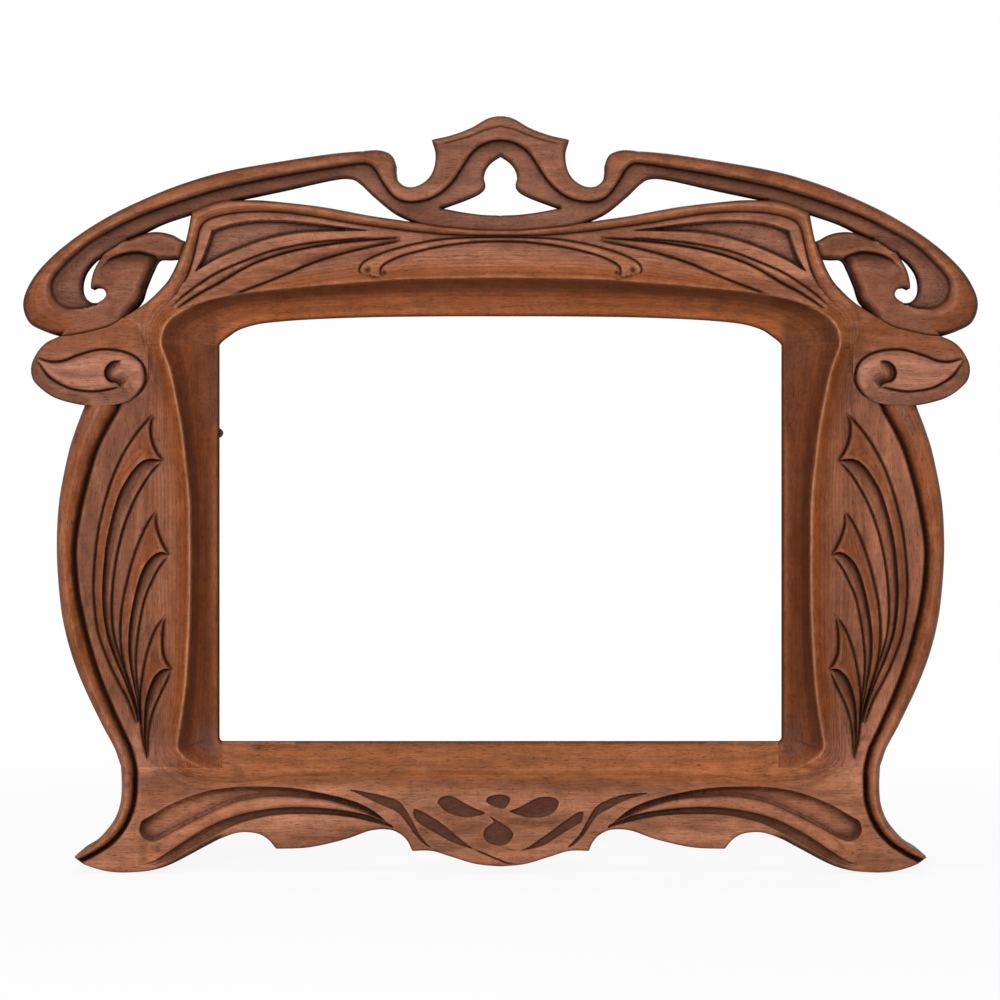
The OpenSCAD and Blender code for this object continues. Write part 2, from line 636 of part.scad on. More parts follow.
// Raised face of the scroll inside each volute, and its fold
scroll_face = concat(
    shoulder_seat, without_first(scroll_edge), scroll_touch, without_first(upper_gap),
    fitted([[-274.5, 427], [-284, 412], [-286, 398], [-291, 390.5], [-302, 387], [-309, 380]])
);
scroll_fold = drawn([
    [-280, 408], [-276.5, 415.5], [-267.5, 422.5], [-255.5, 427.5], [-244, 427.5], [-237, 425.5]
], 2);

module crest_wood() {
    half = chain([
        crest_brow, crest_notch, limb_top, shoulder_seat, scroll_edge, scroll_touch, upper_gap, limb_low,
        peak_seat, limb_under, base_seat
    ]);
    half_opening = chain([piercing, piercing_floor]);
    opening = concat(half_opening, [last(piercing_floor)], without_first(other_side(half_opening)));
    difference() {
        union() {
            board(concat(half, [last(base_seat)], without_first(other_side(half))), crest_h);
            moulding(fitted_rows(curve(band_rows, 2)), band_profile, root_h);
            both_sides() board(scroll_face, crest_h + scroll_rise);
        }
        translate([0, 0, -over]) {
            both_sides() board(eye_hole, band_h + 2 * over);
            board(opening, band_h + 2 * over);
        }
        both_sides() groove(scroll_fold, 3.5, crest_h + scroll_rise, 3.5);
        crest_dowel_shafts();
    }
}

module crest() {
    color(walnut_dark) stand_up() crest_wood();
}

// Bottom rail

// Cross-section of the rail's upper edge, as [height above the sill, height above the back]
sill_section = [
    [-31, 0], [-31, rail_h - 0.5], [-27, rail_h + 1], [-23, lip_h + 2.6], [-20, lip_h + 3],
    [-14, lip_h + 2.2], [-6, lip_h + 1], [0, lip_h], [0, 0]
];

// Long gouge cuts either side, as their upper and lower edges
finger_rows = [
    [[-249, 30.5], [-248.5, 28]], [[-244, 37.5], [-244, 24.5]], [[-231, 45.5], [-234, 25.5]],
    [[-217.5, 52.5], [-220, 32]], [[-199, 58], [-203, 42]], [[-177.5, 60], [-180.5, 50.5]],
    [[-154, 58.5], [-156, 53]], [[-128, 56], [-130, 51]], [[-102, 49.5], [-104.5, 45.5]],
    [[-85, 41], [-87, 38]], [[-76, 33.5], [-77, 32.5]]
];
finger_depth = 4.5;

module gouge_cut(rows, top, depth) {
    n = len(rows) - 1;
    lift = over * [0, 0, 1];
    loops = [
        for (i = [0 : n])
            let (
                l = [rows[i][0].x, rows[i][0].y, top],
                r = [rows[i][1].x, rows[i][1].y, top],
                sunk = [0, 0, depth * sin(180 * mix(0.1, 0.94, i / n))]
            )
            [
                l + lift, r + lift, mix(r, l, 0.22) - 0.7 * sunk, mix(l, r, 0.5) - sunk,
                mix(l, r, 0.22) - 0.7 * sunk
            ]
    ];
    stitched(loops, fan(loops[0]), fan(last(loops)));
}

foot_line = drawn([
    [-262.5, 4], [-242, 8.5], [-220, 19.5], [-199, 34], [-179.5, 41.5], [-159, 45], [-138.5, 45],
    [-114, 42], [-93.5, 37.5], [-76, 31.5]
], 2);

// Bead down the left neck, from the tip of the foot to the bead of the stile: its outer edge, its
// groove, and the foot of the face beyond the groove
bead_slope = 3;
neck_rows = curve([
    for (row = [
        [[-294.5, 11], [-288, 6]], [[-291, 13.8], [-283, 11]], [[-280, 21.5], [-274, 16.5]],
        [[-273, 28.5], [-265, 24.5]], [[-267, 37], [-257.5, 35]], [[-263.5, 47], [-254, 46]],
        [[-262.5, 58.5], [-252.5, 58.5]], [[-263, 73], [-253, 73]]
    ])
    let (across = row[1] - row[0])
    [row[0], row[1], row[1] + bead_slope * across / norm(across)]
], 2);

// Wood that makes room for that bead: past the outline on its outer side and a hair short of the face
module neck_room() {
    inner = [for (row = neck_rows) fit(mix(row[2], row[1], 0.05))];
    outer = [for (row = neck_rows) fit(mix(row[0], row[1], -0.3))];
    recess(concat(
        [inner[0] - [over, over]], inner, [last(inner) + [0, over], last(outer) + [0, over]],
        back_to_front(outer), [outer[0] - [over, over]]
    ), -over);
}
// Ribbons that cross the apron
ribbon_lines = [
    drawn([[-106, 57.5], [-88, 54.5], [-70, 49.5], [-48.5, 37.5], [-35, 27], [-22.5, 18], [-9.5, 11],
        [1, 7.5]], 2),
    drawn([[-84, 52], [-75.5, 46.5], [-62.5, 34], [-55, 24.5], [-48.5, 17.5]], 2),
    drawn([[105, 56.5], [86, 52.5], [67.5, 43.5], [57, 27.5], [50, 19]], 2)
];
// Sunk drops and crescents between the ribbons
apron_drops = [
    [[-43, 49], [-37, 53], [-25, 49.5], [-17, 45], [-11.5, 41.5], [-17, 39.5], [-27.5, 38.5],
        [-36, 41.5], [-43, 49]],
    [[-9.5, 49.5], [-6, 53], [1, 54], [6.5, 52], [6, 47.5], [1, 44], [-5, 45.5], [-9.5, 49.5]],
    [[3, 43.5], [11, 44], [19, 47.5], [27.5, 52], [34, 53], [40, 49.5], [37.5, 43], [30, 38.5], [19, 38],
        [10, 40], [3, 43.5]],
    [[-1.5, 35.5], [4, 33], [8, 29], [8, 24.5], [4, 20], [-1, 19], [-7, 20.5], [-10.5, 25], [-10.5, 29.5],
        [-7, 33.5], [-1.5, 35.5]],
    [[-59.5, 44], [-59, 39], [-52, 31.5], [-43, 26], [-34, 22], [-22, 17.3], [-29, 22.5], [-38.5, 31],
        [-48, 38.5], [-59.5, 44]],
    [[55.5, 43], [57, 39], [49.5, 32.5], [36, 24], [24, 18], [14.5, 16], [24, 22.5], [40.5, 33], [55.5, 43]]
];

module bottom_rail_wood() {
    half = chain([neck, foot, lobe, apron]);
    shoulder = [[haunch_x, seat_y], [haunch_x, sill_y - 4], [-haunch_x, sill_y - 4], [-haunch_x, seat_y]];
    outline = concat(half, [last(apron)], without_first(other_side(half)), [[-neck[0].x, seat_y]], shoulder);
    difference() {
        union() {
            difference() {
                board(outline, rail_h);
                both_sides() neck_room();
            }
            translate([-haunch_x, sill_y, 0]) rotate([90, 0, 90])
                linear_extrude(2 * haunch_x) polygon(sill_section);
            both_sides() moulding(fitted_rows(neck_rows), concat(bead_profile, [[2, rail_h]]), 0);
        }
        both_sides() {
            gouge_cut(fitted_rows(curve(finger_rows, 2)), rail_h, finger_depth);
            groove(foot_line, 3.5, rail_h, 3);
            tenons(mortise_room);
            left_pegs();
        }
        for (line = ribbon_lines) groove(line, 2.5, rail_h, 2);
        for (outline = apron_drops) recess(drawn(outline, 2), recess_h);
        rebate();
    }
}

module bottom_rail() {
    color(walnut) stand_up() bottom_rail_wood();
}

// Pegs and dowels

module tenon_pegs() {
    color(walnut_dark) stand_up() both_sides() left_pegs();
}

// Dowels that stand across the seats of the crest, in the middle of its lower face
module crest_dowel_shafts() {
    both_sides() for (spot = dowel_spots)
        translate([spot.x, spot.y + dowel_len / 2, crest_h / 2]) rotate([90, 0, 0])
            cylinder(h = dowel_len, d = dowel_d);
}

module crest_dowels() {
    color(walnut_dark) stand_up() crest_dowel_shafts();
}

// Turn buttons

// Flat strip with round ends, pivoting on its screw and turned by an angle from pointing inwards
module turn_button(spot, angle) {
    tip = button_reach - button_w / 2;
    tail = button_tail - button_w / 2;
    translate([spot.x, spot.y, -button_clear - button_t]) rotate([0, 0, angle]) difference() {
        union() {
            translate([-tail, -button_w / 2, 0]) cube([tip + tail, button_w, button_t]);
            translate([-tail, 0, 0]) cylinder(h = button_t, d = button_w);
            translate([tip, 0, 0]) cylinder(h = button_t, d = button_w);
        }
        translate([0, 0, -over]) cylinder(h = button_t + 2 * over, d = button_screw_d + 2 * button_clear);
    }
}

// Round-headed wood screw standing in the back, its head under the given height
module wood_screw(spot, shank_d, head_d, head_h, under_head) {
    point = shank_d;
    head_ball = (pow(head_d / 2, 2) + pow(head_h, 2)) / (2 * head_h);
    shank_start = -under_head - over / 4;
    translate([spot.x, spot.y, 0]) {
        translate([0, 0, shank_start]) cylinder(h = screw_len - point - shank_start, d = shank_d);
        translate([0, 0, screw_len - point]) cylinder(h = point, d1 = shank_d, d2 = 0.4);
        difference() {
            intersection() {
                translate([0, 0, -under_head - head_h + head_ball]) sphere(r = head_ball);
                translate([0, 0, -under_head - head_h]) cylinder(h = head_h, d = head_d + over);
            }
            translate([-head_d, -head_d / 14, -under_head - head_h - over])
                cube([2 * head_d, head_d / 7, over + head_h / 2]);
        }
    }
}

module button_screw(spot) {
    wood_screw(spot, button_screw_d, button_head_d, button_head_h, button_t + 2 * button_clear);
}

turned_in = 0;
parked = 90;

module upper_left_button() {
    color(iron) stand_up() turn_button(upper_spot, turned_in);
}

module lower_left_button() {
    color(iron) stand_up() turn_button(lower_spot, parked);
}

module upper_right_button() {
    color(iron) stand_up() mirror([1, 0, 0]) turn_button(upper_spot, parked);
}

module lower_right_button() {
    color(iron) stand_up() mirror([1, 0, 0]) turn_button(lower_spot, parked);
}

module upper_left_button_screw() {
    color(iron) stand_up() button_screw(upper_spot);
}

module lower_left_button_screw() {
    color(iron) stand_up() button_screw(lower_spot);
}

module upper_right_button_screw() {
    color(iron) stand_up() mirror([1, 0, 0]) button_screw(upper_spot);
}

module lower_right_button_screw() {
    color(iron) stand_up() mirror([1, 0, 0]) button_screw(lower_spot);
}

// Hangers

// Strap screwed to the back, folded round the straight bar of its ring
module strap_plate() {
    difference() {
        union() {
            translate([strap_x - strap_w / 2, ring_y - strap_len + strap_w / 2, -strap_t])
                cube([strap_w, strap_len - strap_w / 2, strap_t]);
            translate([strap_x, ring_y - strap_len + strap_w / 2, -strap_t])
                cylinder(h = strap_t, d = strap_w);
            translate([strap_x - strap_w / 2, ring_y, -knuckle_r]) rotate([0, 90, 0])
                cylinder(h = strap_w, r = knuckle_r);
        }
        translate([strap_x - strap_w / 2 - over, ring_y, -knuckle_r]) rotate([0, 90, 0])
            cylinder(h = strap_w + 2 * over, r = wire_r + ring_clear);
        for (spot = left_strap_screw_spots) translate([spot.x, spot.y, -strap_t - over])
            cylinder(h = strap_t + 2 * over, d = strap_screw_d);
    }
}

// Ring with a straight bar through the strap and a round lower end, hanging down
module hanging_ring() {
    translate([strap_x, ring_y, -knuckle_r]) {
        translate([-ring_r, 0, 0]) rotate([0, 90, 0]) cylinder(h = 2 * ring_r, r = wire_r);
        for (s = [-1, 1]) translate([s * ring_r, 0, 0]) {
            sphere(r = wire_r);
            rotate([90, 0, 0]) cylinder(h = ring_side, r = wire_r);
        }
        translate([0, -ring_side, 0]) rotate([0, 0, 180]) rotate_extrude(angle = 180)
            translate([ring_r, 0]) circle(r = wire_r);
    }
}

module left_hanger_strap() {
    color(steel) stand_up() strap_plate();
}

module right_hanger_strap() {
    color(steel) stand_up() mirror([1, 0, 0]) strap_plate();
}

module left_hanging_ring() {
    color(steel) stand_up() hanging_ring();
}

module right_hanging_ring() {
    color(steel) stand_up() mirror([1, 0, 0]) hanging_ring();
}

module strap_screws() {
    color(steel) stand_up() both_sides() for (spot = left_strap_screw_spots)
        wood_screw(spot, strap_screw_d, strap_head_d, strap_head_h, strap_t);
}

crest();
top_rail();
bottom_rail();
left_stile();
right_stile();
tenon_pegs();
crest_dowels();
upper_left_button();
lower_left_button();
upper_right_button();
lower_right_button();
upper_left_button_screw();
lower_left_button_screw();
upper_right_button_screw();
lower_right_button_screw();
left_hanger_strap();
right_hanger_strap();
left_hanging_ring();
right_hanging_ring();
strap_screws();
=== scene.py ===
# %% [markdown]
# # A carved walnut picture frame
# The frame is drawn on a carver's bench: x runs across, y runs up the frame, and heights are measured
# from its flat back, all in millimetres. Only the last step stands it up, in metres. Working in the
# maker's own units keeps every number readable, and it matches the way the solids were set out.

# %% Load the fixed frame and note its box
import math

import bpy
import numpy as np
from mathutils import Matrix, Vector, geometry, kdtree, noise


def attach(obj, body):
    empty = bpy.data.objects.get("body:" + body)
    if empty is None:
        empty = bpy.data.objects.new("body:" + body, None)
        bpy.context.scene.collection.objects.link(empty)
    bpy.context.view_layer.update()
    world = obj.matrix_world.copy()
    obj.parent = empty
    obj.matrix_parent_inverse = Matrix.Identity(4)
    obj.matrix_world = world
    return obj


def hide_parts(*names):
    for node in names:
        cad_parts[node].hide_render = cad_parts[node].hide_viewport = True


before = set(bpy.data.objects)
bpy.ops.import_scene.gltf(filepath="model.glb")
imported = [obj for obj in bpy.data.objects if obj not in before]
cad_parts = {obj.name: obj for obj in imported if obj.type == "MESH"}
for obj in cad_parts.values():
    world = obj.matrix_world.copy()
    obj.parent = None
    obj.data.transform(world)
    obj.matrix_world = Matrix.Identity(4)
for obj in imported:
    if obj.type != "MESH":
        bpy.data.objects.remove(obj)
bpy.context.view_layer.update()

# Millimetres: back of the boards, foot of the frame, half of the sight width, lower sight edge, lower
# ends of the stiles, and where the arch of the sight edge begins
MM = 0.001
BACK = 12.45
GROUND = 0.118
HALF_W = 194.5
SILL_Y = 90.5
SEAT_Y = 73
SPRING_Y = 364.5
SIDE_SIGNS = (("left", -1), ("right", 1))


def stood_up(x, y, height):
    """Bench point in millimetres to a point of the standing frame in metres."""
    return np.column_stack([x, BACK - height, y - GROUND]) * MM


def placed(name, data):
    """Object that carries the data, linked to the scene."""
    thing = bpy.data.objects.new(name, data)
    bpy.context.scene.collection.objects.link(thing)
    return thing


# %% [markdown]
# ## Camera
# The photograph looks straight at the frame from a few steps away. One pixel is 0.69 mm at the carved
# face, which fixes the lens once the distance is chosen. A longer lens from farther back would look
# the same; 2.2 m is where a photographer would stand.

# %% Camera
DISTANCE = 2.2
SIGHT_PLANE = -0.0075
VIEW_W = 0.690
SENSOR = 36.0
camera_data = bpy.data.cameras.new("camera")
camera_data.sensor_width = SENSOR
camera_data.lens = SENSOR * DISTANCE / VIEW_W
camera = placed("camera", camera_data)
camera.location = (-0.00035, SIGHT_PLANE - DISTANCE, 0.25725)
camera.rotation_euler = (math.pi / 2, 0, 0)
bpy.context.scene.camera = camera
bpy.context.scene.view_settings.view_transform = "Standard"
print("lens", round(camera_data.lens, 1), "mm")

# %% [markdown]
# ## Node helpers
# Materials and repeated parts are small node trees. One helper adds a node, sets what is constant on
# its own sockets and joins what comes from other nodes, so that a tree reads like a recipe.


# %% Helpers for node trees
def add(tree, kind, inputs=(), **settings):
    node = tree.nodes.new(kind)
    for name, value in settings.items():
        setattr(node, name, value)
    for key, value in dict(inputs).items():
        if isinstance(value, bpy.types.NodeSocket):
            tree.links.new(value, node.inputs[key])
        else:
            node.inputs[key].default_value = value
    return node


def new_material(name):
    """Material with an empty node tree."""
    material = bpy.data.materials.new(name)
    material.use_nodes = True
    material.node_tree.nodes.clear()
    return material, material.node_tree


# %% [markdown]
# ## Studio
# The ground of the photograph is pure white and the light is one broad soft source in front of the
# frame with a little more from above: faces that look at us are bright, the flanks of every bead turn
# dark on both sides. The world is white only for what the camera, gloss and glass see, and dimmer as a
# light, so the white never comes from more light on the wood.


# %% World
def white_for_the_eye(tree):
    """1 where a ray comes from the camera, a gloss or a clear surface."""
    path = add(tree, "ShaderNodeLightPath")
    seen = add(tree, "ShaderNodeMath", {0: path.outputs["Is Camera Ray"],
                                        1: path.outputs["Is Glossy Ray"]}, operation="MAXIMUM")
    return add(tree, "ShaderNodeMath", {0: seen.outputs[0],
                                        1: path.outputs["Is Transmission Ray"]}, operation="MAXIMUM")


WORLD_LIGHT = 0.30
world = bpy.data.worlds.new("studio")
bpy.context.scene.world = world
world.use_nodes = True
tree = world.node_tree
tree.nodes.clear()
seen = white_for_the_eye(tree)
dim = add(tree, "ShaderNodeBackground", {"Color": (1, 1, 1, 1), "Strength": WORLD_LIGHT})
white = add(tree, "ShaderNodeBackground", {"Color": (1, 1, 1, 1), "Strength": 1.0})
mixed = add(tree, "ShaderNodeMixShader", {0: seen.outputs[0], 1: dim.outputs[0], 2: white.outputs[0]})
add(tree, "ShaderNodeOutputWorld", {0: mixed.outputs[0]})

# %% [markdown]
# ## Lamps
# A broad lamp stands before the frame, a little to the left and above it, so that low and right
# flanks fall into shade. A weaker one skims down from above, and one behind lights the back.


# %% Lamps
def soft_lamp(name, place, aim, size, watts):
    data = bpy.data.lights.new(name, "AREA")
    data.shape = "RECTANGLE"
    data.size, data.size_y = size
    data.energy = watts
    lamp = placed(name, data)
    lamp.location = place
    lamp.rotation_euler = (Vector(aim) - Vector(place)).to_track_quat("-Z", "Y").to_euler()
    return lamp


MIDDLE = (0, 0, 0.26)
soft_lamp("front_lamp", (-0.25, -2.6, 0.80), MIDDLE, (0.9, 0.7), 46)
soft_lamp("top_lamp", (-0.5, -0.9, 1.9), MIDDLE, (1.2, 0.6), 12)
soft_lamp("back_lamp", (0.5, 2.2, 1.4), MIDDLE, (1.6, 1.2), 20)

# %% [markdown]
# ## Floor
# The frame stands on white paper. Near its feet the paper is a real matt surface that takes their
# shadow. Farther out it glows white for the eye and melts into the ground behind it.

# %% Floor
FLOOR_Z = -0.0006
FLOOR_HALF = 3
floor_mesh = bpy.data.meshes.new("floor")
floor_mesh.from_pydata([(x * FLOOR_HALF, y * FLOOR_HALF, FLOOR_Z)
                        for x, y in ((-1, -1), (1, -1), (1, 1), (-1, 1))], [], [(0, 1, 2, 3)])
floor = placed("floor", floor_mesh)
paper, tree = new_material("white_paper")
seen = white_for_the_eye(tree)
matt = add(tree, "ShaderNodeBsdfDiffuse", {"Color": (0.9, 0.9, 0.9, 1)})
glow = add(tree, "ShaderNodeEmission", {"Color": (1, 1, 1, 1), "Strength": 1.0})
spot = add(tree, "ShaderNodeTexCoord").outputs["Object"]
away = add(tree, "ShaderNodeVectorMath", {0: spot}, operation="LENGTH").outputs["Value"]
far = add(tree, "ShaderNodeMapRange", {"Value": away, "From Min": 0.25, "From Max": 1.3,
                                       "To Min": 0.88, "To Max": 1.0}).outputs[0]
share = add(tree, "ShaderNodeMath", {0: seen.outputs[0], 1: far}, operation="MULTIPLY")
mixed = add(tree, "ShaderNodeMixShader", {0: share.outputs[0], 1: matt.outputs[0], 2: glow.outputs[0]})
add(tree, "ShaderNodeOutputMaterial", {0: mixed.outputs[0]})
floor_mesh.materials.append(paper)
print("floor", 2 * FLOOR_HALF, "m wide, at", FLOOR_Z)

# %% [markdown]
# ## Drawing tools
# A carver sets out a few points and bends a thin batten through them. The same is done here: every
# line is a short list of points with a smooth curve through it. Each line is drawn for the left half
# only, because a plan point is folded over to the left before anything is measured from it.


# %% Curves
def curve(points, step=0.8):
    """Smooth line through given points, as points about a step apart."""
    p = np.array(points, float)
    m = len(p) - 1
    out = []
    for i in range(m):
        a, b, c, d = p[max(i - 1, 0)], p[i], p[i + 1], p[min(i + 2, m)]
        n = max(2, int(np.linalg.norm((c - b)[:2]) / step))
        t = np.linspace(0, 1, n, endpoint=False)[:, None]
        out.append(0.5 * (2 * b + (c - a) * t + (2 * a - 5 * b + 4 * c - d) * t**2
                          + (3 * b - 3 * c + d - a) * t**3))
    return np.vstack(out + [p[-1:]])


def joined(*lines):
    """Lines end to end, without the points that two of them share."""
    out = [lines[0]]
    for line in lines[1:]:
        line = np.array(line, float)
        out.append(line[1:] if np.allclose(out[-1][-1][:2], line[0][:2]) else line)
    return np.vstack(out)


def other_side(line):
    """The line's mirror image on the right half, running on from where the left half ended."""
    out = np.array(line, float)[::-1].copy()
    out[:, 0] *= -1
    return out


def run_of(line):
    """Distance along a line to each of its points."""
    return np.concatenate([[0], np.cumsum(np.hypot(*np.diff(line[:, :2], axis=0).T))])


def folded(plan):
    """Plan points brought over to the left half, a hair off the centre line itself."""
    return np.column_stack([-np.maximum(np.abs(plan[:, 0]), 0.03), plan[:, 1]])


# %% [markdown]
# ## Measuring from a line
# Everything is laid out from lines, so what is asked most often is how far a point is from one, on
# which side and how far along. A long line is taken in short parts, and each part is only compared
# with the points near it.

# %% Distances and insides
PART = 12


def near(plan, line, reach=60.0):
    """For each plan point: distance to the line, side of it (left is +) and place along it."""
    found = np.full(len(plan), np.inf)
    side = np.zeros(len(plan))
    place = np.zeros(len(plan))
    line = line[:, :2]
    start = run_of(line)
    for i in range(0, len(line) - 1, PART):
        part = line[i:i + PART + 1]
        low, high = part.min(0) - reach, part.max(0) + reach
        pick = np.flatnonzero((plan > low).all(1) & (plan < high).all(1))
        if not len(pick):
            continue
        step = part[1:] - part[:-1]
        to = plan[pick][:, None] - part[:-1][None]
        along = np.clip((to * step).sum(2) / np.maximum((step**2).sum(1), 1e-9), 0, 1)
        off = to - along[..., None] * step
        gap = np.hypot(off[..., 0], off[..., 1])
        k = gap.argmin(1)
        rows = np.arange(len(pick))
        gap = gap[rows, k]
        closer = gap < found[pick]
        rows, k, hit = rows[closer], k[closer], pick[closer]
        found[hit] = gap[closer]
        side[hit] = np.sign(step[k, 0] * to[rows, k, 1] - step[k, 1] * to[rows, k, 0])
        place[hit] = start[i + k] + along[rows, k] * np.hypot(*step[k].T)
    return found, side, place


def inside(plan, loop):
    """Which plan points lie inside a closed loop."""
    loop = np.asarray(loop)[:, :2]
    hit = np.zeros(len(plan), bool)
    low, high = loop.min(0), loop.max(0)
    pick = np.flatnonzero((plan >= low).all(1) & (plan <= high).all(1))
    x, y = plan[pick].T
    odd = np.zeros(len(pick), bool)
    for (x0, y0), (x1, y1) in zip(loop, np.roll(loop, -1, 0)):
        if y0 != y1:
            odd ^= ((y0 > y) != (y1 > y)) & (x < x0 + (y - y0) * (x1 - x0) / (y1 - y0))
    hit[pick] = odd
    return hit


def within(plan, loops):
    """Which plan points lie in the first loop and in none of the others, which are its holes."""
    ok = inside(plan, loops[0])
    for hole in loops[1:]:
        ok &= ~inside(plan, hole)
    return ok


# %% [markdown]
# ## Profiles
# A profile is a few marks of place and height with a smooth curve through them. The curve never
# passes its marks, so a flat stays flat and an edge gets no lip that was not drawn.


# %% Profiles
def section(u, marks):
    """Smooth profile through [place, height] marks, without overshoot."""
    x, y = np.array(marks, float).T
    slope = np.diff(y) / np.diff(x)
    product, total = slope[:-1] * slope[1:], slope[:-1] + slope[1:]
    mean = np.where(product > 0, 2 * product / np.where(total == 0, 1, total), 0)
    m = np.concatenate([[slope[0]], mean, [slope[-1]]])
    i = np.clip(np.searchsorted(x, u) - 1, 0, len(x) - 2)
    wide = x[i + 1] - x[i]
    t = np.clip((u - x[i]) / wide, 0, 1)
    return ((2 * t**3 - 3 * t**2 + 1) * y[i] + (t**3 - 2 * t**2 + t) * wide * m[i]
            + (3 * t**2 - 2 * t**3) * y[i + 1] + (t**3 - t**2) * wide * m[i + 1])


def ease(t):
    t = np.clip(t, 0, 1)
    return t * t * (3 - 2 * t)


# %% [markdown]
# ## Lines of the drawing
# These are the sawn outlines of the boards and the main lines that run over them: the bead round the
# outside, the ridge beside the hollow moulding, and the sight edge of the opening. They are the same
# lines that the solids were sawn to, so each carved board stays where its solid is.

# %% Outlines that boards share
SHOULDER_SEAT = curve([(-304, 370.5), (-295, 371), (-278.5, 374.5), (-268, 378), (-260, 383.5)])
RAIL_SIDE_LOW = curve([(-260, 383.5), (-244, 394), (-231.5, 406.5), (-226, 415.5), (-222, 424.5)])
SCROLL_TOUCH = curve([(-222, 424.5), (-217.5, 436)])
RAIL_SIDE_HIGH = curve([(-217.5, 436), (-215.5, 445), (-213.5, 456)])
PEAK_SEAT = curve([(-213.5, 456), (-204, 460), (-195, 463), (-186.5, 464.5)])
BASE_SEAT = curve([(-57.5, 449), (-43, 446.5), (-28, 445), (-13, 443.7), (0, 443.5)])
EAR_SCRIBE = curve([(-288, 323), (-278.5, 322.5), (-268, 323), (-257.5, 325.5), (-249.5, 330.5),
                    (-244.5, 337.5), (-243, 345)])
EAR_EDGE = curve([(-304, 370.5), (-313.5, 366), (-320, 359), (-324, 350), (-323, 341), (-317, 334),
                  (-308, 328), (-297, 324.5), (-288, 323)])
RAIL_BROW = curve([(-186.5, 464.5), (-168, 464.5), (-155, 463.5), (-135.5, 461.5), (-117.5, 459),
                   (-88, 453.5), (-57.5, 449)])
print("ear edge", round(run_of(EAR_EDGE)[-1]), "mm round")

# %% [markdown]
# ## Outlines of the crest, the feet and the apron
# A whiplash line is hard to draw in one go. Broken at its corners it becomes a few calm curves, with
# points close together only where it turns quickly.

# %% Outlines of the crest, the feet and the apron
CREST_BROW = curve([(0, 523), (-9, 521), (-20.5, 514.5), (-34, 509.5), (-47.5, 506.5)])
CREST_NOTCH = curve([(-47.5, 506.5), (-45, 497), (-46, 487), (-50, 479.5), (-57.5, 474.5), (-65, 474),
                     (-70.5, 478), (-72, 484), (-72.5, 490.5), (-76, 496.5), (-84.5, 499.5),
                     (-95.5, 499)])
LIMB_TOP = curve([(-95.5, 499), (-117.5, 497), (-151, 492), (-190, 485), (-221, 476), (-249.5, 464.5),
                  (-273.5, 452.5), (-294.5, 439), (-312, 424.5), (-324.5, 409.5), (-330.5, 394),
                  (-326.5, 380.5), (-315.5, 374), (-304, 370.5)])
SCROLL_EDGE = curve([(-260, 383.5), (-249.5, 394), (-245.5, 405), (-240.5, 417), (-236.5, 423.5),
                     (-229, 424), (-222, 424.5)])
UPPER_GAP = curve([(-217.5, 436), (-221, 437.5), (-226.5, 440.5), (-235, 442.5), (-244.5, 442),
                   (-257, 437.5)])
LIMB_LOW = curve([(-257, 437.5), (-246.5, 443), (-233, 449.5), (-213.5, 456)])
LIMB_UNDER = curve([(-186.5, 464.5), (-151, 472), (-117.5, 479.5), (-104.5, 480.5), (-97.5, 477),
                    (-88, 468), (-73, 456), (-57.5, 449)])
EYE_HOLE = curve([(-274.5, 427), (-281, 423), (-287.5, 415), (-290, 406.5), (-289, 399), (-284, 394.5),
                  (-278.5, 394), (-274, 396.5), (-272.5, 400), (-275, 403.5), (-279.5, 404.5),
                  (-283, 403.5), (-282.5, 410.5), (-280, 418), (-274.5, 427)])[:-1]
PIERCING = curve([(0, 496), (-6, 492), (-10, 487), (-11.5, 481), (-10.5, 475), (-14, 470.5),
                  (-22, 466.5), (-34, 462), (-41, 459.5)])
PIERCING_FLOOR = curve([(-41, 459.5), (-28, 457), (-13, 455), (0, 454.5)])
NECK = curve([(-263, 73), (-262.5, 58.5), (-263.5, 47), (-267, 37), (-273, 28.5), (-280, 21.5),
              (-288, 16.5), (-294.5, 11)])
FOOT = curve([(-294.5, 11), (-288, 6), (-276.5, 2), (-266, 0.3), (-254, 0.3), (-240, 1.8), (-226.5, 6),
              (-205.5, 17), (-192, 24), (-180, 27.8), (-168, 27), (-160.5, 23), (-155, 16.5)])
LOBE = curve([(-155, 16.5), (-132, 17.5), (-107.5, 23), (-90, 29), (-77, 29.7), (-69, 26.5),
              (-64, 21.5), (-61, 15)])
APRON = curve([(-61, 15), (-47.5, 15), (-34, 11), (-17, 6), (0, 4.3)])
STILE_EDGE = curve([(-263, 73), (-264.8, 78), (-266.8, 84), (-270, 90.5), (-276, 101.5), (-288, 126.5),
                    (-297, 149.5), (-303.3, 174.5), (-306.3, 199.5), (-307.5, 227), (-305.8, 257),
                    (-300, 287.5), (-295, 304.5), (-288, 323)])
print("limb", round(run_of(LIMB_TOP)[-1]), "mm, foot", round(run_of(FOOT)[-1]), "mm")

# %% [markdown]
# ## Sight edge, ridge and bead
# The ridge carries more than its place: every point of it also has a height and the width of the
# slope outside it. In that way one line says how the moulding swells beside the stiles and dies away
# into the rails.

# %% Sight edge, ridge and bead
CORNER_R = 2.8
FILLET = np.array([(-HALF_W + CORNER_R + CORNER_R * math.cos(a),
                    SILL_Y + CORNER_R + CORNER_R * math.sin(a))
                   for a in np.linspace(1.5 * math.pi, math.pi, 7)])
ARCH_SIGHT = curve([(-194.5, 364.5), (-192.5, 367), (-187.5, 370.8), (-182, 374.5), (-175, 377.2),
                    (-166.5, 379.2), (-155, 380.6), (-137, 382), (-113.5, 383.1), (-87, 383.9),
                    (-57.5, 384.3), (-28, 384.5), (0, 384.5)])
SIGHT = joined(curve([(0, SILL_Y), (-60, SILL_Y), (-191.7, SILL_Y)]), FILLET,
               curve([(-HALF_W, 93.3), (-HALF_W, 200), (-HALF_W, SPRING_Y)]), ARCH_SIGHT)

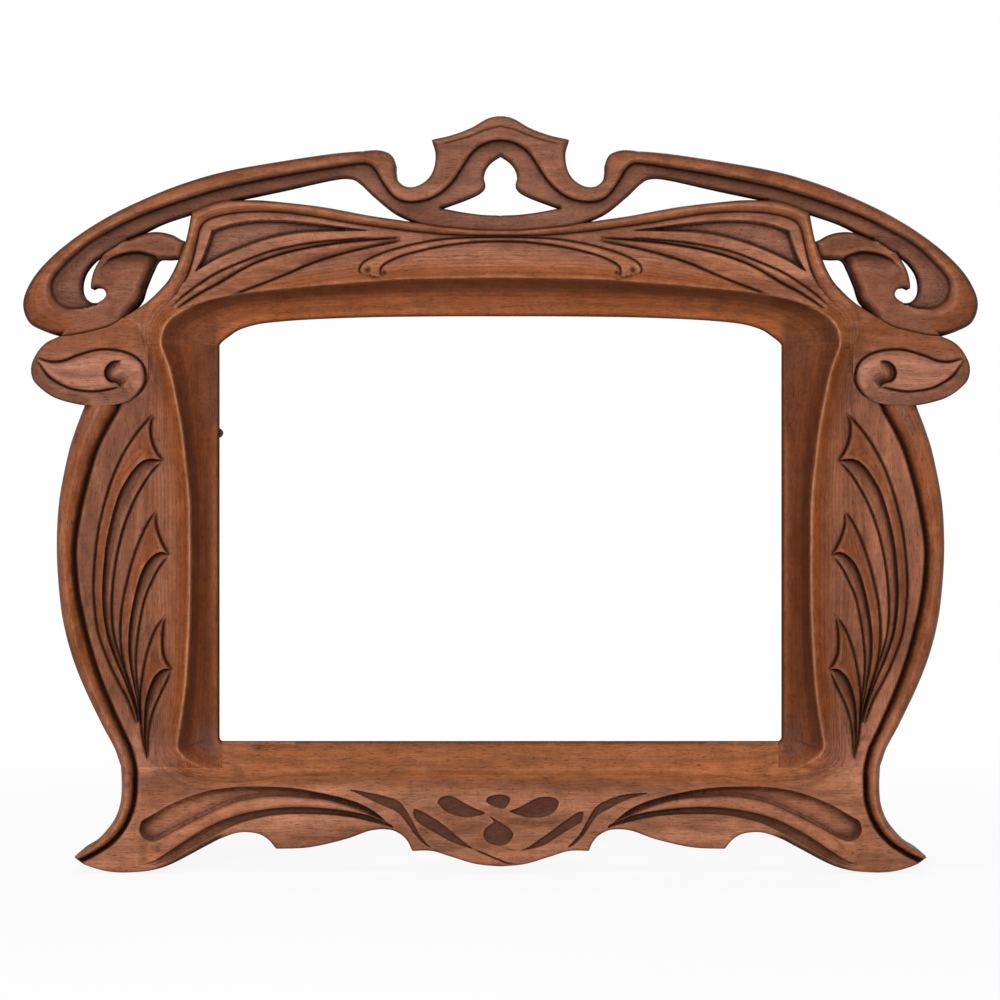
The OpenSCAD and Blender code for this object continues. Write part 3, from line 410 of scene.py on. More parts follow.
# Each point of the ridge: x, y, height, and how wide its outer slope is
RIDGE = curve([
    (0, 71.5, 21.6, 11), (-70, 71.5, 21.6, 11), (-143, 71, 21.8, 11), (-166, 69.5, 22.2, 12),
    (-180.5, 69, 22.7, 13), (-196.5, 71, 23.6, 14), (-207, 74, 24.6, 16), (-216.5, 79, 26, 18),
    (-221.5, 84.5, 27.4, 20), (-222.5, 90.5, 28.6, 22), (-220.5, 101.5, 29.6, 25),
    (-217, 126.5, 30, 30), (-215.3, 149.5, 30, 33.6), (-214, 174.5, 30, 37.5), (-213.5, 199.5, 30, 40),
    (-213.5, 227, 30, 40.5), (-214, 257, 30, 38), (-217, 287.5, 30, 33), (-219, 304.5, 30, 28),
    (-222.3, 323, 30, 22), (-227, 345, 29.6, 16), (-231.5, 358, 29.2, 15), (-233.5, 364.5, 29, 15.5),
    (-232.5, 373.5, 28.6, 18), (-227.5, 381.5, 28.2, 19), (-219, 387.5, 27.8, 17),
    (-206.5, 393, 27.4, 14), (-188.5, 397.8, 27.2, 13), (-170, 400.8, 27.4, 14),
    (-144, 403.4, 28, 17), (-117.5, 405.8, 28.6, 20), (-88, 408, 29, 24), (-57.5, 409.7, 29.4, 27),
    (0, 410.5, 29.6, 28.5)])
BEAD_OUTER = joined(NECK[::-1], STILE_EDGE, curve([(-288, 323), (-279, 345), (-272, 364.5)]))
BEAD_GROOVE = curve([
    (-289, 9.5), (-280.5, 13.5), (-268, 22), (-258.5, 34.5), (-253.5, 49), (-252.5, 65), (-253, 73),
    (-255.7, 84), (-258.5, 90.5), (-263.7, 101.5), (-274.5, 126.5), (-282.5, 149.5), (-289, 174.5),
    (-293.5, 199.5), (-294.5, 227), (-289.5, 257), (-281.3, 287.5), (-274, 304.5), (-264, 323),
    (-257, 345), (-252, 364.5)])
print("ridge", round(run_of(RIDGE)[-1]), "mm, up to", RIDGE[:, 2].max().round(1), "mm high")

# %% [markdown]
# ## Leaves, ribbons and grooves
# Each leaf of a stile is a blade that climbs from a cut on its left to a rib, then drops into a
# shallow trough that ends at a second cut. The other cuts are made with a vee tool. Keeping a leaf as
# four lines and a cut as one line with a width and a depth lets the same few functions carve them all.

# %% Leaves of a stile: left cut, hollow side above the barb, drop below it, and outer cut
LEAVES = [
    {"left": curve([(-239.5, 317.5), (-247, 309), (-254, 300), (-261.5, 287.5), (-268.5, 271.5),
                    (-274.8, 250.5), (-278.8, 230), (-281, 205.5), (-280.8, 188), (-278, 166),
                    (-271.5, 147), (-264, 131), (-257.5, 119), (-252, 104)]),
     "hollow": curve([(-239.5, 317.5), (-241.5, 309), (-241.3, 302), (-239.5, 295), (-236, 288.5),
                      (-232.5, 284.8)]),
     "drop": curve([(-232.5, 284.8), (-240.5, 286), (-247, 284.5), (-253, 279), (-258.5, 271),
                    (-264, 260), (-269, 243), (-273, 222), (-275, 192.5), (-272.8, 168), (-267, 149),
                    (-260.5, 134), (-254, 117), (-250.5, 104)]),
     "outer": curve([(-232.5, 284.8), (-240.5, 277), (-248, 266), (-254.8, 253), (-261.3, 235),
                     (-266.2, 212), (-268.5, 188), (-267.8, 168), (-263.8, 151), (-258, 135),
                     (-252, 116), (-249, 103)])},
    {"left": curve([(-237.5, 250), (-243.5, 241.5), (-249.5, 229), (-254.5, 214.5), (-257.8, 202),
                    (-261, 187), (-262.5, 172), (-262.3, 157), (-260, 142), (-256, 127),
                    (-251.8, 113), (-249.6, 104)]),
     "hollow": curve([(-237.5, 250), (-237.4, 241), (-235.5, 233.5), (-232, 225.5), (-228.3, 219.8)]),
     "drop": curve([(-228.3, 219.8), (-232, 221.7), (-236.5, 221), (-241.5, 217.5), (-246, 211.5),
                    (-249.5, 203), (-253, 190), (-256, 173), (-257, 158), (-256, 143),
                    (-253, 128), (-250, 113), (-248.6, 103)]),
     "outer": curve([(-228.3, 219.8), (-235.5, 210.5), (-240.8, 200.5), (-245.3, 190), (-248.8, 175),
                     (-251, 160), (-252, 146), (-251.3, 132), (-249.5, 118), (-247.8, 103)])},
    {"left": curve([(-231, 178), (-238, 168), (-243.2, 155), (-246.3, 142), (-248.4, 129),
                    (-249.3, 117), (-248.6, 104), (-247, 92), (-244.8, 80)]),
     "hollow": curve([(-231, 178), (-232.7, 166), (-232.7, 153), (-230, 145.5), (-226.5, 141)]),
     "drop": curve([(-226.5, 141), (-230.5, 141.5), (-235, 139.5), (-239.5, 134.5), (-243, 126.5),
                    (-245.3, 117), (-246.2, 105), (-246, 92), (-244.3, 79)]),
     "outer": curve([(-226.5, 141), (-230, 132.5), (-235, 122.5), (-239.5, 112.5), (-242.3, 102),
                     (-243.5, 91), (-243.6, 78)])},
]
print("leaves on a stile:", len(LEAVES))

# %% [markdown]
# ## Vee cuts of the stiles and the top rail
# A vee tool leaves a groove with two straight sides. Its line, its width at the surface and its depth
# are all that has to be kept.

# %% Vee cuts of the stiles and the top rail: line, width, depth
STILE_CUTS = [(BEAD_GROOVE, 3.0, 1.2)]
for leaf in LEAVES:
    STILE_CUTS += [(leaf["left"], 2.6, 1.8), (leaf["hollow"], 2.2, 1.5), (leaf["outer"], 2.4, 1.7)]
PANEL = joined(
    curve([(-212, 413.5), (-207.5, 421.5), (-203.5, 431), (-199.5, 443.5)]),
    curve([(-199.5, 443.5), (-187, 448), (-170.5, 450.5), (-148.5, 450.5), (-126.5, 448.5),
           (-104.5, 445.5), (-84.5, 443)]),
    curve([(-84.5, 443), (-110, 442.5), (-132, 441.7), (-148, 439.7), (-165, 435.5), (-181.5, 429.5),
           (-198, 422), (-212, 413.5)]))[:-1]
RIM_OUTER = joined(RAIL_SIDE_LOW, SCROLL_TOUCH, RAIL_SIDE_HIGH, PEAK_SEAT, RAIL_BROW, BASE_SEAT)
RIM_INNER = curve([(-252, 378), (-236.5, 386), (-223.5, 399.5), (-216.5, 411), (-212.3, 423.5),
                   (-209.5, 435.5), (-207, 445), (-202, 450.5), (-191, 454), (-176, 456), (-154, 456),
                   (-134, 453.8), (-104.5, 448.8), (-87.5, 446.3), (-56.5, 442.3), (-28, 440),
                   (0, 439.3)])
RIBBON_TOP = curve([(-226, 391), (-219, 397.5), (-208, 406), (-194.5, 414.5), (-176, 422.5),
                    (-160, 428.5), (-143, 432.5), (-125, 435.3), (-106, 437), (-86, 438.5)])
GROOVE_A = curve([(-224, 388), (-214.5, 394.8), (-205, 400.8), (-194.5, 406.5), (-179, 416),
                  (-165, 422.5), (-143, 429.3), (-115.5, 434.2), (-93.5, 436.5), (-70, 438.3)])
GROOVE_B = curve([(-186, 398.2), (-179, 400.5), (-165, 405.8), (-148.5, 412.5), (-132, 419.8),
                  (-115.5, 425.5), (-99, 430), (-82.5, 433.7), (-70, 436)])
LENS_OUTER = curve([(-92.5, 412.5), (-96.8, 414), (-96.5, 418.3), (-91.5, 423), (-76.5, 429.3),
                    (-53.5, 435), (-30.5, 438), (0, 438.7)])
LENS_INNER = curve([(-80, 409.5), (-82.5, 413), (-82, 417.5), (-77, 421.5), (-65, 426.5), (-42, 432),
                    (-19, 435), (0, 435.7)])
LENS_DIMPLES = [((-91.5, 415.8), 4.0, 1.6), ((-80.0, 413.8), 2.8, 1.0)]
RAIL_CUTS = [(RIBBON_TOP, 2.4, 1.6), (GROOVE_A, 2.6, 2.0), (GROOVE_B, 2.6, 2.0),
             (LENS_OUTER, 2.2, 1.4), (LENS_INNER, 2.2, 1.5), (RIM_INNER[RIM_INNER[:, 1] > 408], 2.4, 0.8)]
print("cuts: stile", len(STILE_CUTS), "top rail", len(RAIL_CUTS))

# %% [markdown]
# ## Ear leaf
# The round ear carries a leaf that lies on its side. Two long cuts meet at its tip on the left, and on
# the right the upper one runs on round the ear. A short hook between them bounds a scooped hollow.

# %% Ear leaf
EAR_TOP = curve([(-319.5, 355.5), (-310.5, 352.7), (-301.5, 353.3), (-292.5, 356.8), (-281, 360.3),
                 (-271.5, 361.2), (-261, 359.8), (-252.5, 356.3), (-247.2, 351), (-245, 344.5),
                 (-245.3, 338.5), (-247.7, 333.3), (-252, 328.6), (-257.5, 325.7)])
EAR_LOW = curve([(-318.5, 352), (-312, 343), (-303, 337), (-294.5, 333.8), (-282, 332.3),
                 (-272.5, 333.3), (-264, 335), (-261, 335)])
EAR_HOOK = curve([(-261.5, 353), (-266.5, 353), (-270.5, 350.5), (-272.7, 346.5), (-272.3, 342),
                  (-269.3, 339), (-265, 338.3), (-261.5, 335)])
EAR_HOLLOW = joined(EAR_HOOK, [(-248, 335), (-248, 353), (-261.5, 353)])[:-1]
EAR_MOUTH = np.array([EAR_LOW[-1], (-259.5, 331.5), EAR_TOP[-1]])
EAR_CUTS = [(EAR_TOP, 2.6, 1.9), (EAR_LOW, 2.4, 1.9), (EAR_HOOK, 1.2, 0.9)]

# %% [markdown]
# ## Cuts of the bottom rail
# A finger-shaped hollow and a narrow vein sweep over each foot. The apron's ornament is not mirrored:
# its drops and wedges were cut by eye, so each one is drawn for itself.

# %% Bottom rail: gouge cuts, vein, ribbons of the apron and its sunk drops
FINGER_UP = curve([(-249.5, 29.5), (-248, 35.5), (-242.5, 39), (-229.5, 46.5), (-217, 52), (-203, 56.5),
                   (-190, 58.8), (-176.5, 59.7), (-150.5, 59.3), (-130.5, 56.7), (-104, 50.5),
                   (-88.5, 43.5), (-77, 34)])
FINGER_LOW = curve([(-249.5, 29.5), (-247, 25), (-242.5, 22.7), (-236, 23.3), (-223, 30.3),
                    (-203, 40.5), (-183.5, 48.7), (-163.5, 52.7), (-143.5, 52.7), (-117.5, 50),
                    (-95, 42.7), (-77, 34)])
VEIN_UP = curve([(-250, 5), (-240, 7.5), (-229.5, 14), (-213.5, 24.5), (-199, 32.7), (-183.5, 39),
                 (-167.5, 42.7), (-150.5, 44.8), (-130.5, 45), (-110.5, 43), (-91, 39.3), (-75, 32.5)])
VEIN_LOW = curve([(-246, 4), (-229.5, 8.7), (-209.5, 20), (-190, 30.3), (-176.5, 35.8), (-157, 40),
                  (-137, 41), (-110.5, 39.8), (-91, 36.2), (-74, 31.5)])
RIBBON_A = curve([(-21.5, 17.8), (-12, 13.6), (-3, 9.8), (5, 6.8), (13, 5.9)])
RIBBON_D = curve([(15.5, 15.4), (5, 16.5), (-2.5, 18.7)])
DROPS = {
    "left_wedge": [(-105.4, 58), (-93.8, 56), (-81, 53.3), (-70.7, 49.8), (-65.8, 44.5), (-61.3, 36.9),
                   (-56, 27), (-50.5, 20), (-47, 16.8), (-52.2, 19.6), (-58.3, 25.5), (-63.8, 33),
                   (-68.3, 39), (-72.5, 42.5), (-81, 46.3), (-93.8, 52.3), (-105.4, 58)],
    "left_crescent": [(-60, 44.5), (-54, 42.5), (-47.5, 38.8), (-40.5, 34.2), (-33, 27.9), (-25.5, 21.7),
                      (-19.2, 16.6), (-28, 19.2), (-36, 22.5), (-46.5, 28.3), (-57, 35), (-60, 40),
                      (-60, 44.5)],
    "left_drop": [(-43.6, 48.5), (-41.7, 51.7), (-36.7, 53.3), (-30.5, 51.7), (-24.2, 47.9), (-18, 44.8),
                  (-10.5, 41.4), (-14.2, 39.8), (-21.7, 38.5), (-28, 38.8), (-34.9, 41), (-39.9, 44.2),
                  (-43.6, 48.5)],
    "top_drop": [(-10.2, 49.5), (-9, 52), (-5.5, 53.6), (-0.5, 54.2), (4.5, 53.3), (6.7, 51.3),
                 (6.2, 48.8), (4.6, 46.2), (3, 44.6), (0.5, 44.3), (-3, 45.2), (-6.7, 46.7),
                 (-10.2, 49.5)],
    "right_drop": [(5.2, 42.6), (9, 41), (14.5, 39.2), (22, 38.2), (29.5, 38.5), (35.7, 41),
                   (39.5, 45.4), (40.1, 49.2), (37.6, 51.7), (32, 52.7), (25.7, 51.8), (19.5, 49),
                   (13.2, 45.5), (5.2, 42.6)],
    "lower_drop": [(-9.4, 40.8), (-5, 37.9), (-0.5, 35.2), (4.5, 32), (8.7, 27.9), (8.3, 24.6),
                   (5.8, 21), (1.4, 18.9), (-3.6, 19.2), (-8.6, 21), (-11.1, 24.2), (-11.7, 27.9),
                   (-9.9, 31.3), (-6.5, 33.6), (-4.6, 35.3), (-6.3, 37.6), (-9.4, 40.8)],
    "right_crescent": [(57.4, 42.3), (53.2, 41.7), (48.2, 38.5), (42, 34.2), (34.5, 28.5), (25.7, 22.3),
                       (19.5, 18.1), (13.9, 15.4), (27, 17.9), (34.5, 21.7), (43.2, 27.3), (50.7, 31.9),
                       (55.9, 35.4), (57.4, 42.3)],
    "right_wedge": [(103.5, 55.6), (86, 54.2), (75.8, 51.2), (66.3, 46.2), (60.4, 37.2), (54, 26),
                    (46.5, 18), (50.5, 19.2), (57.8, 26.5), (63.4, 35), (67.2, 39.8), (74.5, 43.8),
                    (86, 49.8), (103.5, 55.6)],
}
DROPS = {name: curve(points, 0.6)[:-1] for name, points in DROPS.items()}
# Darker spots on the bottom rail: centre, half sizes, strength
DARK_SPOTS = [((-167.3, 86.9), (6.5, 4.0), 0.75), ((-127.5, 68.5), (15.0, 2.6), 0.5),
         ((-160.0, 88.0), (14.0, 3.0), 0.3)]
APRON_CUTS = [(RIBBON_A, 1.6, 1.2), (RIBBON_D, 1.2, 0.7)]
FOOT_CUTS = [(VEIN_UP, 1.4, 0.7), (VEIN_LOW, 1.4, 0.7), (FINGER_LOW, 1.4, 0.5)]
print("drops:", ", ".join(DROPS))

# %% [markdown]
# ## The carved face
# One function gives the height of the wood at any plan point of the four-sided ring, so the moulding
# runs on over the joints as it does when a carver works on the glued-up frame. It also says how the
# wood is finished there: warm where hands and wax have polished it, greyer in the sunk grounds and on
# the flats, where the grey is partly a painted sheen, and darker where painted shade lies.
# A dense set of points is laid over each board, closer along every cut, joined by a constrained
# triangulation and lifted to these heights: real geometry, not a picture of it.


# %% Carver's tools
def cut(plan, height, line, width, depth, tip=9.0):
    """Vee cut along a line, running out at both ends, and how dark it is painted: old wax and painted
    shade.
    """
    gap, _, place = near(plan, line, width)
    length = run_of(line)[-1]
    closed = np.hypot(*(line[0, :2] - line[-1, :2])) < 1
    run_out = 1.0 if closed else np.clip(np.minimum(place, length - place) / tip, 0.12, 1)
    wax = run_out * np.clip(1.25 - 2 * gap / width, 0, 1) * min(1.0, depth / 1.2)
    return height - depth * run_out * np.clip(1 - 2 * gap / width, 0, 1), wax


def both_banks(face, plan, height, finish, cuts):
    """Points on a line take the lower of the line's two banks, or the higher one on a crest."""
    spots, normals, crests = [], [], []
    for line, _, depth in cuts:
        gap, _, place = near(plan, line, 0.5)
        on = np.flatnonzero(gap < 0.06)
        run = np.gradient(line[:, :2], axis=0)
        start = run_of(line)
        across = np.column_stack([-np.interp(place[on], start, run[:, 1]),
                                  np.interp(place[on], start, run[:, 0])])
        spots.append(on)
        normals.append(across / np.maximum(np.hypot(*across.T), 1e-9)[:, None])
        crests.append(np.full(len(on), depth == 0))
    on, across, crest = np.concatenate(spots), np.vstack(normals), np.concatenate(crests)
    (one, one_finish), (two, two_finish) = [face(plan[on] + offset * across) for offset in (0.12, -0.12)]
    first = (one > two) == crest
    height[on] = np.where(first, one, two)
    for key, values in finish.items():
        values[on] = np.where(first, one_finish[key], two_finish[key])


def between(plan, first, second, reach=60.0):
    """Share of the way from the first line to the second, for points between the two."""
    hit = inside(plan, joined(first[:, :2], second[::-1, :2]))
    a = near(plan[hit], first, reach)[0]
    b = near(plan[hit], second, reach)[0]
    return hit, a / np.maximum(a + b, 1e-6)


def sink(plan, height, loop, floor, wall=0.8):
    """Flat recess with steep walls."""
    hit = inside(plan, loop)
    gap = near(plan[hit], joined(loop, loop[:1]), 6)[0]
    height[hit] += (floor - height[hit]) * ease(gap / wall)
    return hit


def swell(plan, height, first, second, rise):
    """Rounded ribbon between two lines."""
    hit, u = between(plan, first, second)
    height[hit] += rise * np.sqrt(np.clip(4 * u * (1 - u), 0, 1))
    return hit


def tint(finish, hit, **shares):
    """New shares of warmth, greyness and the rest for the points that were hit."""
    for key, values in shares.items():
        finish[key][hit] = values


def tilt(plan, height, finish, first, second, rise):
    """Ribbon that swells towards its first line and falls away to its second, with painted shade growing
    towards the second.
    """
    hit, u = between(plan, first, second)
    height[hit] += rise * np.sin(np.pi * np.clip(u, 0, 1) ** 0.6)
    tint(finish, hit, warm=0.35, grey=0.2, dark=0.3 * u)


def at_place(line, place, column):
    """Value that a line carries at a distance along it."""
    return np.interp(place, run_of(line), line[:, column])


# %% [markdown]
# ## Height, finish and painted shade of the ring
# The forms are laid one over the other, as they are carved: first the level of the ground, then the
# slope outside the ridge and the cove inside it, then the outer bead, the rim of the shoulders and the
# leaves. Most steps change only the points between their own two lines.

# %% Height, finish and painted shade of the ring of stiles and rails
EAR_REGION = joined(EAR_SCRIBE, [(-243, 364.5), (-251, 379)], SHOULDER_SEAT[::-1], EAR_EDGE)


def ring_face(plan):
    """Plan points folded to the left half, with the height of the wood there and its finish, painted light
    and shade included.
    """
    p = folded(plan)
    x, y = p.T
    n = len(p)
    warm, grey, dark, pale = np.zeros((4, n))
    field = section(y, [(60, 20), (78, 19), (102, 17), (325, 17), (345, 18.5), (364, 20.6), (400, 21.6),
                        (425, 20.8), (440, 20.4), (470, 20)])
    height = field.copy()
    # Greyer from above the sill upwards: a grey ground that is partly a painted sheen on the flats
    grey += 0.35 * ease((y - 72) / 40)
    # Paler near the lower outer corner of each stile
    pale += 0.40 * ease((118 - y) / 45) * ease((-206 - x) / 26) * (y > SEAT_Y)

    # Slope outside the ridge
    gap, side, place = near(p, RIDGE, 62)
    top = at_place(RIDGE, place, 2)
    slope_w = at_place(RIDGE, place, 3)
    outside = side > 0
    t = np.clip(gap / slope_w, 0, 1)
    crisp = section(t, [(0, 1), (0.12, 0.9), (0.5, 0.42), (0.8, 0.1), (1, 0)])
    soft = section(t, [(0, 1), (0.2, 0.96), (0.6, 0.3), (1, 0)])
    low = ease((y - 66) / 26) * ease((-x - 190) / 12) + ease((y - 300) / 40)
    low = np.clip(low, 0, 1)
    rise = soft + (crisp - soft) * low
    height += np.where(outside, (top - field) * rise, 0)
    # Outside the ridge: a warm polished band, a little painted shade on it along the stiles, and a painted
    # highlight line along the ridge itself
    band = np.clip(1.35 - gap / 11, 0, 1)
    warm += np.where(outside, band, 0)
    dark += np.where(outside, 0.14 * band * low, 0)
    grey *= np.where(outside, 1 - band, 1)
    painted_ridge_highlight = np.clip(1.15 - gap / 0.85, 0, 1) * (0.2 + 0.8 * low) * (1 - 0.8 * ease((y - 372) / 22))

    # Cove and bevel inside the ridge
    hit, u = between(p, RIDGE, SIGHT, 62)
    cove = section(u, [(0, 1), (0.05, 0.86), (0.14, 0.62), (0.32, 0.3), (0.62, 0.05), (0.9, -0.03),
                       (1, -0.06)])
    bevel = section(u, [(0, 1), (0.15, 0.97), (0.55, 0.5), (0.95, 0.02), (1, -0.1)])
    form = bevel + (cove - bevel) * low[hit]
    height[hit] = 20 + (top[hit] - 20) * form
    # Cove: warm, with painted shade deepest below the ridge, and on the stiles a grey painted reflection
    # near its lower end
    warm[hit] = 1.0
    stile = ease((-x[hit] - 192) / 6)
    grey[hit] = 0.8 * stile * ease((112 - y[hit]) / 20) * ease((u - 0.25) / 0.3)
    dark[hit] = low[hit] * np.maximum(0.85 * (1 - ease((u - 0.08) / 0.6)), (0.36 + 0.4 * u) * stile)

    # Level of the ear, then the outer bead below it
    ear = inside(p, EAR_REGION)
    height[ear] += np.maximum(20.6 - field[ear], 0)
    hit, u = between(p, BEAD_OUTER, BEAD_GROOVE, 30)
    u = u[~ear[hit]]
    hit &= ~ear
    bead = section(u, [(0, 10.5), (0.06, 14.5), (0.14, 17.4), (0.33, 20.4), (0.5, 21.2), (0.74, 19.4),
                       (0.9, 16.6), (1, 14.4)])
    lift = np.clip((102 - y[hit]) / 40, 0, 1)
    height[hit] = bead + lift * np.sin(np.pi * u)
    # Outer bead: warm, a grey painted reflection along its crest in the upper part, and painted shade on
    # both flanks
    warm[hit] = 0.75
    grey[hit] = 0.8 * ease((y[hit] - 280) / 36) * ease((u - 0.2) / 0.2) * ease((0.8 - u) / 0.2)
    dark[hit] = 0.2 * (1 - ease(u / 0.2)) + 0.4 * ease((u - 0.72) / 0.26)
    # Foot of the wall beside the bead, darkened as painted shade
    wall, _, _ = near(p, BEAD_GROOVE, 5)
    beyond = (wall < 3.4) & ~inside(p, joined(BEAD_OUTER, BEAD_GROOVE[::-1]))
    beyond &= (x < -240) & (y < 372) & ~ear
    height[beyond] -= (height[beyond] - 14.4) * (1 - ease(wall[beyond] / 3.2))
    dark[beyond] = 0.5 * (1 - ease(wall[beyond] / 3.4))

    # Rim of the shoulders
    hit, u = between(p, RIM_OUTER, RIM_INNER, 20)
    fade = ease((y[hit] - 384) / 36)
    rim = section(u, [(0, 18.4), (0.12, 21), (0.42, 23.2), (0.8, 21.4), (1, 20)])
    height[hit] += (rim - height[hit]) * fade
    # Rim bead: warm, with painted shade towards both its edges
    warm[hit] = 0.5
    grey[hit] *= 0.4
    dark[hit] = 0.25 * fade * ease(np.abs(u - 0.45) / 0.5)

    # Leaves: each rises to its right edge and steps down on the next
    for leaf in LEAVES:
        ridge = joined(leaf["hollow"], leaf["drop"])
        hit, u = between(p, leaf["left"], ridge, 40)
        run_in = ease(near(p[hit], leaf["hollow"], 3)[0] / 1.4)
        height[hit] += (0.2 + 3.3 * u**1.2) * (0.35 + 0.65 * run_in)
        warm[hit] = np.maximum(warm[hit], 0.35 + 0.45 * u)
        grey[hit] *= 0.45
        # Trough below the drop: painted shade, deepest under the drop, on a grey ground
        hit, u = between(p, leaf["drop"], leaf["outer"], 40)
        height[hit] += -1.3 + 2.4 * u
        dark[hit] = 0.45 * (1 - u)
        grey[hit] = 0.55
    return p, height, {"warm": warm, "grey": grey, "dark": dark, "pale": pale, "crisp": painted_ridge_highlight,
                       "floor": np.zeros(n)}


# %% [markdown]
# ## Ear, shoulder and centre of the top rail
# The leaf of the ear swells between its two cuts and sinks towards the hook, where a gouge was
# pushed in. The long cuts of the shoulder come in pairs, and the wood between two of them is tilted: one
# edge of the ribbon rises, the other goes under its neighbour.


# %% Ear, shoulder and centre of the top rail
def rail_details(p, height, finish):
    x, y = p.T
    # Round of the ear and the leaf on it
    ear = inside(p, EAR_REGION)
    upper = ease((y - 350) / 14)
    tint(finish, ear, warm=0.6 * upper[ear], grey=0.75 * (1 - upper[ear]), dark=0.3)
    edge = near(p, EAR_EDGE, 12)[0]
    height[ear] -= (0.8 * (1 - ease(edge / 8)) * (1 - upper))[ear]
    hit, u = between(p, EAR_TOP, EAR_LOW, 40)
    open_side = ease(near(p[hit], EAR_MOUTH, 14)[0] / 12)
    height[hit] += 2.0 * np.sin(np.pi * np.clip(u, 0, 1)) ** 0.7 * open_side
    # On the leaf: painted shade along its upper side and a pale painted sheen over it
    finish["warm"][hit] *= 1 - open_side
    finish["grey"][hit] += (0.15 - finish["grey"][hit]) * open_side
    finish["dark"][hit] += (0.3 * (1 - ease(u / 0.5)) - finish["dark"][hit]) * open_side
    finish["pale"][hit] = 0.45 * open_side
    # Hollow under the hook, with painted shade in it near the hook
    gap, _, place = near(p, EAR_HOOK, 24)
    ends = np.sin(np.pi * np.clip(place / place[gap < 1].max(), 0, 1)) ** 0.6 if (gap < 1).any() else 0
    hollow = inside(p, EAR_HOLLOW)
    sink_in = (1 - ease(gap / 12)) * ends
    height[hollow] -= 4.4 * sink_in[hollow]
    finish["dark"][hollow] = 0.85 * (sink_in[hollow] * (1 - ease(gap[hollow] / 7))) ** 0.6
    finish["pale"][hollow] *= 1 - sink_in[hollow]

    # Sunk panel, tilted ribbons and the lens
    floor = sink(p, height, PANEL, 16.0, 1.6)
    tint(finish, floor, grey=0.9, warm=0)
    # Painted shade on the panel floor along its lip
    lip = near(p, joined(PANEL, PANEL[:1]), 4)[0]
    finish["dark"][floor] = 0.35 * (1 - ease(lip[floor] / 3))
    tilt(p, height, finish, RIBBON_TOP, GROOVE_A, 1.0)
    tilt(p, height, finish, GROOVE_A, GROOVE_B, 1.6)
    hit = swell(p, height, LENS_OUTER, LENS_INNER, 1.6)
    tint(finish, hit, warm=0.35, grey=0.2)
    # Paler streak along the bead of the brow under the middle of the crest
    finish["pale"] += 0.8 * ease(1.3 - np.hypot(x / 14, (y - 442.6) / 1.1))
    # Dimples at the ends of the lens, darkened inside as painted shade
    for spot, wide, deep in LENS_DIMPLES:
        pit = 1 - ease(np.hypot(*(p - spot).T) / wide)
        height -= deep * pit
        finish["dark"] += 0.8 * pit
    return height, finish


# %% [markdown]
# ## Feet and apron
# The finger hollow is round in section and grows shallow towards its narrow end. Beside it runs a
# rounded rib and then the sunk vein, below which the foot falls away to its edge. The apron's drops
# are sunk to one flat depth.


# %% Feet and apron
def apron_details(plan, p, height, finish):
    x, y = p.T
    # Finger hollow, with painted shade along its upper edge and at its round end, and a painted highlight
    # on its lower half
    hit, u = between(p, FINGER_UP, FINGER_LOW, 30)
    wall = near(p[hit], joined(FINGER_UP, FINGER_LOW[::-1]), 12)[0]
    deep = np.clip(wall / 5, 0, 1)
    height[hit] -= 4.2 * np.sqrt(1 - (1 - deep) ** 2)
    end = 1 - ease((x[hit] + 249) / 22)
    tint(finish, hit, dark=np.clip(0.35 * (1 - deep) * (1 - u) + 0.5 * end, 0, 1), grey=0.5 * end,
         warm=0.4 * (1 - end), pale=0.35 * (1 - end) * u)
    # Rib between the hollow and the vein, then the vein, darkened as painted shade
    hit, u = between(p, FINGER_LOW, VEIN_UP, 30)
    fade = ease((x[hit] + 252) / 26)
    height[hit] += 1.9 * fade * np.sqrt(np.clip(4 * u * (1 - u), 0, 1))
    tint(finish, hit, warm=0.3, grey=0.1)
    hit, u = between(p, VEIN_UP, VEIN_LOW, 12)
    fade = ease((x[hit] + 250) / 26)
    height[hit] -= 1.9 * np.clip(6 * u * (1 - u), 0, 1) * fade
    finish["dark"][hit] = 0.6 * fade
    # Fall of the foot below the vein, darker towards the edge
    foot_line = FOOT[(FOOT[:, 0] > -262) & (FOOT[:, 0] < -186)]
    hit, u = between(p, VEIN_LOW[VEIN_LOW[:, 0] < -186], foot_line, 30)
    runs = ease((-x[hit] - 186) / 14) * ease((x[hit] + 246) / 24)
    height[hit] -= 4.5 * ease(u) * runs
    finish["dark"][hit] = (0.2 + 0.5 * u) * runs
    # Sunk drops, and a few darker spots on the rail
    for loop in DROPS.values():
        floor = sink(plan, height, loop, 16.4, 0.6)
        finish["floor"][floor] = 1
    for spot, size, depth in DARK_SPOTS:
        finish["dark"] += depth * ease(1 - np.hypot(*((plan - spot) / size).T))
    return height, finish


# %% [markdown]
# ## Laying points over a board
# A plain grid would step along a slanting cut. So every cut gets a row of points along its bottom and
# one along each lip, the outline gets rows for its rounded edge, and the grid between them keeps clear
# of these rows. The back of a board is laid out again with few points and steps in at the rebate.


# %% Points and triangles of a board
PITCH = 0.86
RIM_ROWS = (0.3, 0.8, 1.6, 2.6)
# Height of a triangle with equal sides of 1
ROW_RISE = 0.866


def spread(loop, step=0.9):
    """Closed loop with points about a step apart, its corners kept."""
    out = []
    for a, b in zip(loop, np.roll(loop, -1, 0)):
        n = max(1, int(round(np.hypot(*(b - a)) / step)))
        out.append(a + (b - a) * np.linspace(0, 1, n, endpoint=False)[:, None])
    out = np.vstack(out)
    keep = np.hypot(*(out - np.roll(out, 1, 0)).T) > 0.25
    return out[keep]


def beside(line, offset):
    """Line moved sideways to its left."""
    run = np.gradient(line[:, :2], axis=0)
    run /= np.maximum(np.hypot(*run.T), 1e-9)[:, None]
    return line[:, :2] + offset * np.column_stack([-run[:, 1], run[:, 0]])


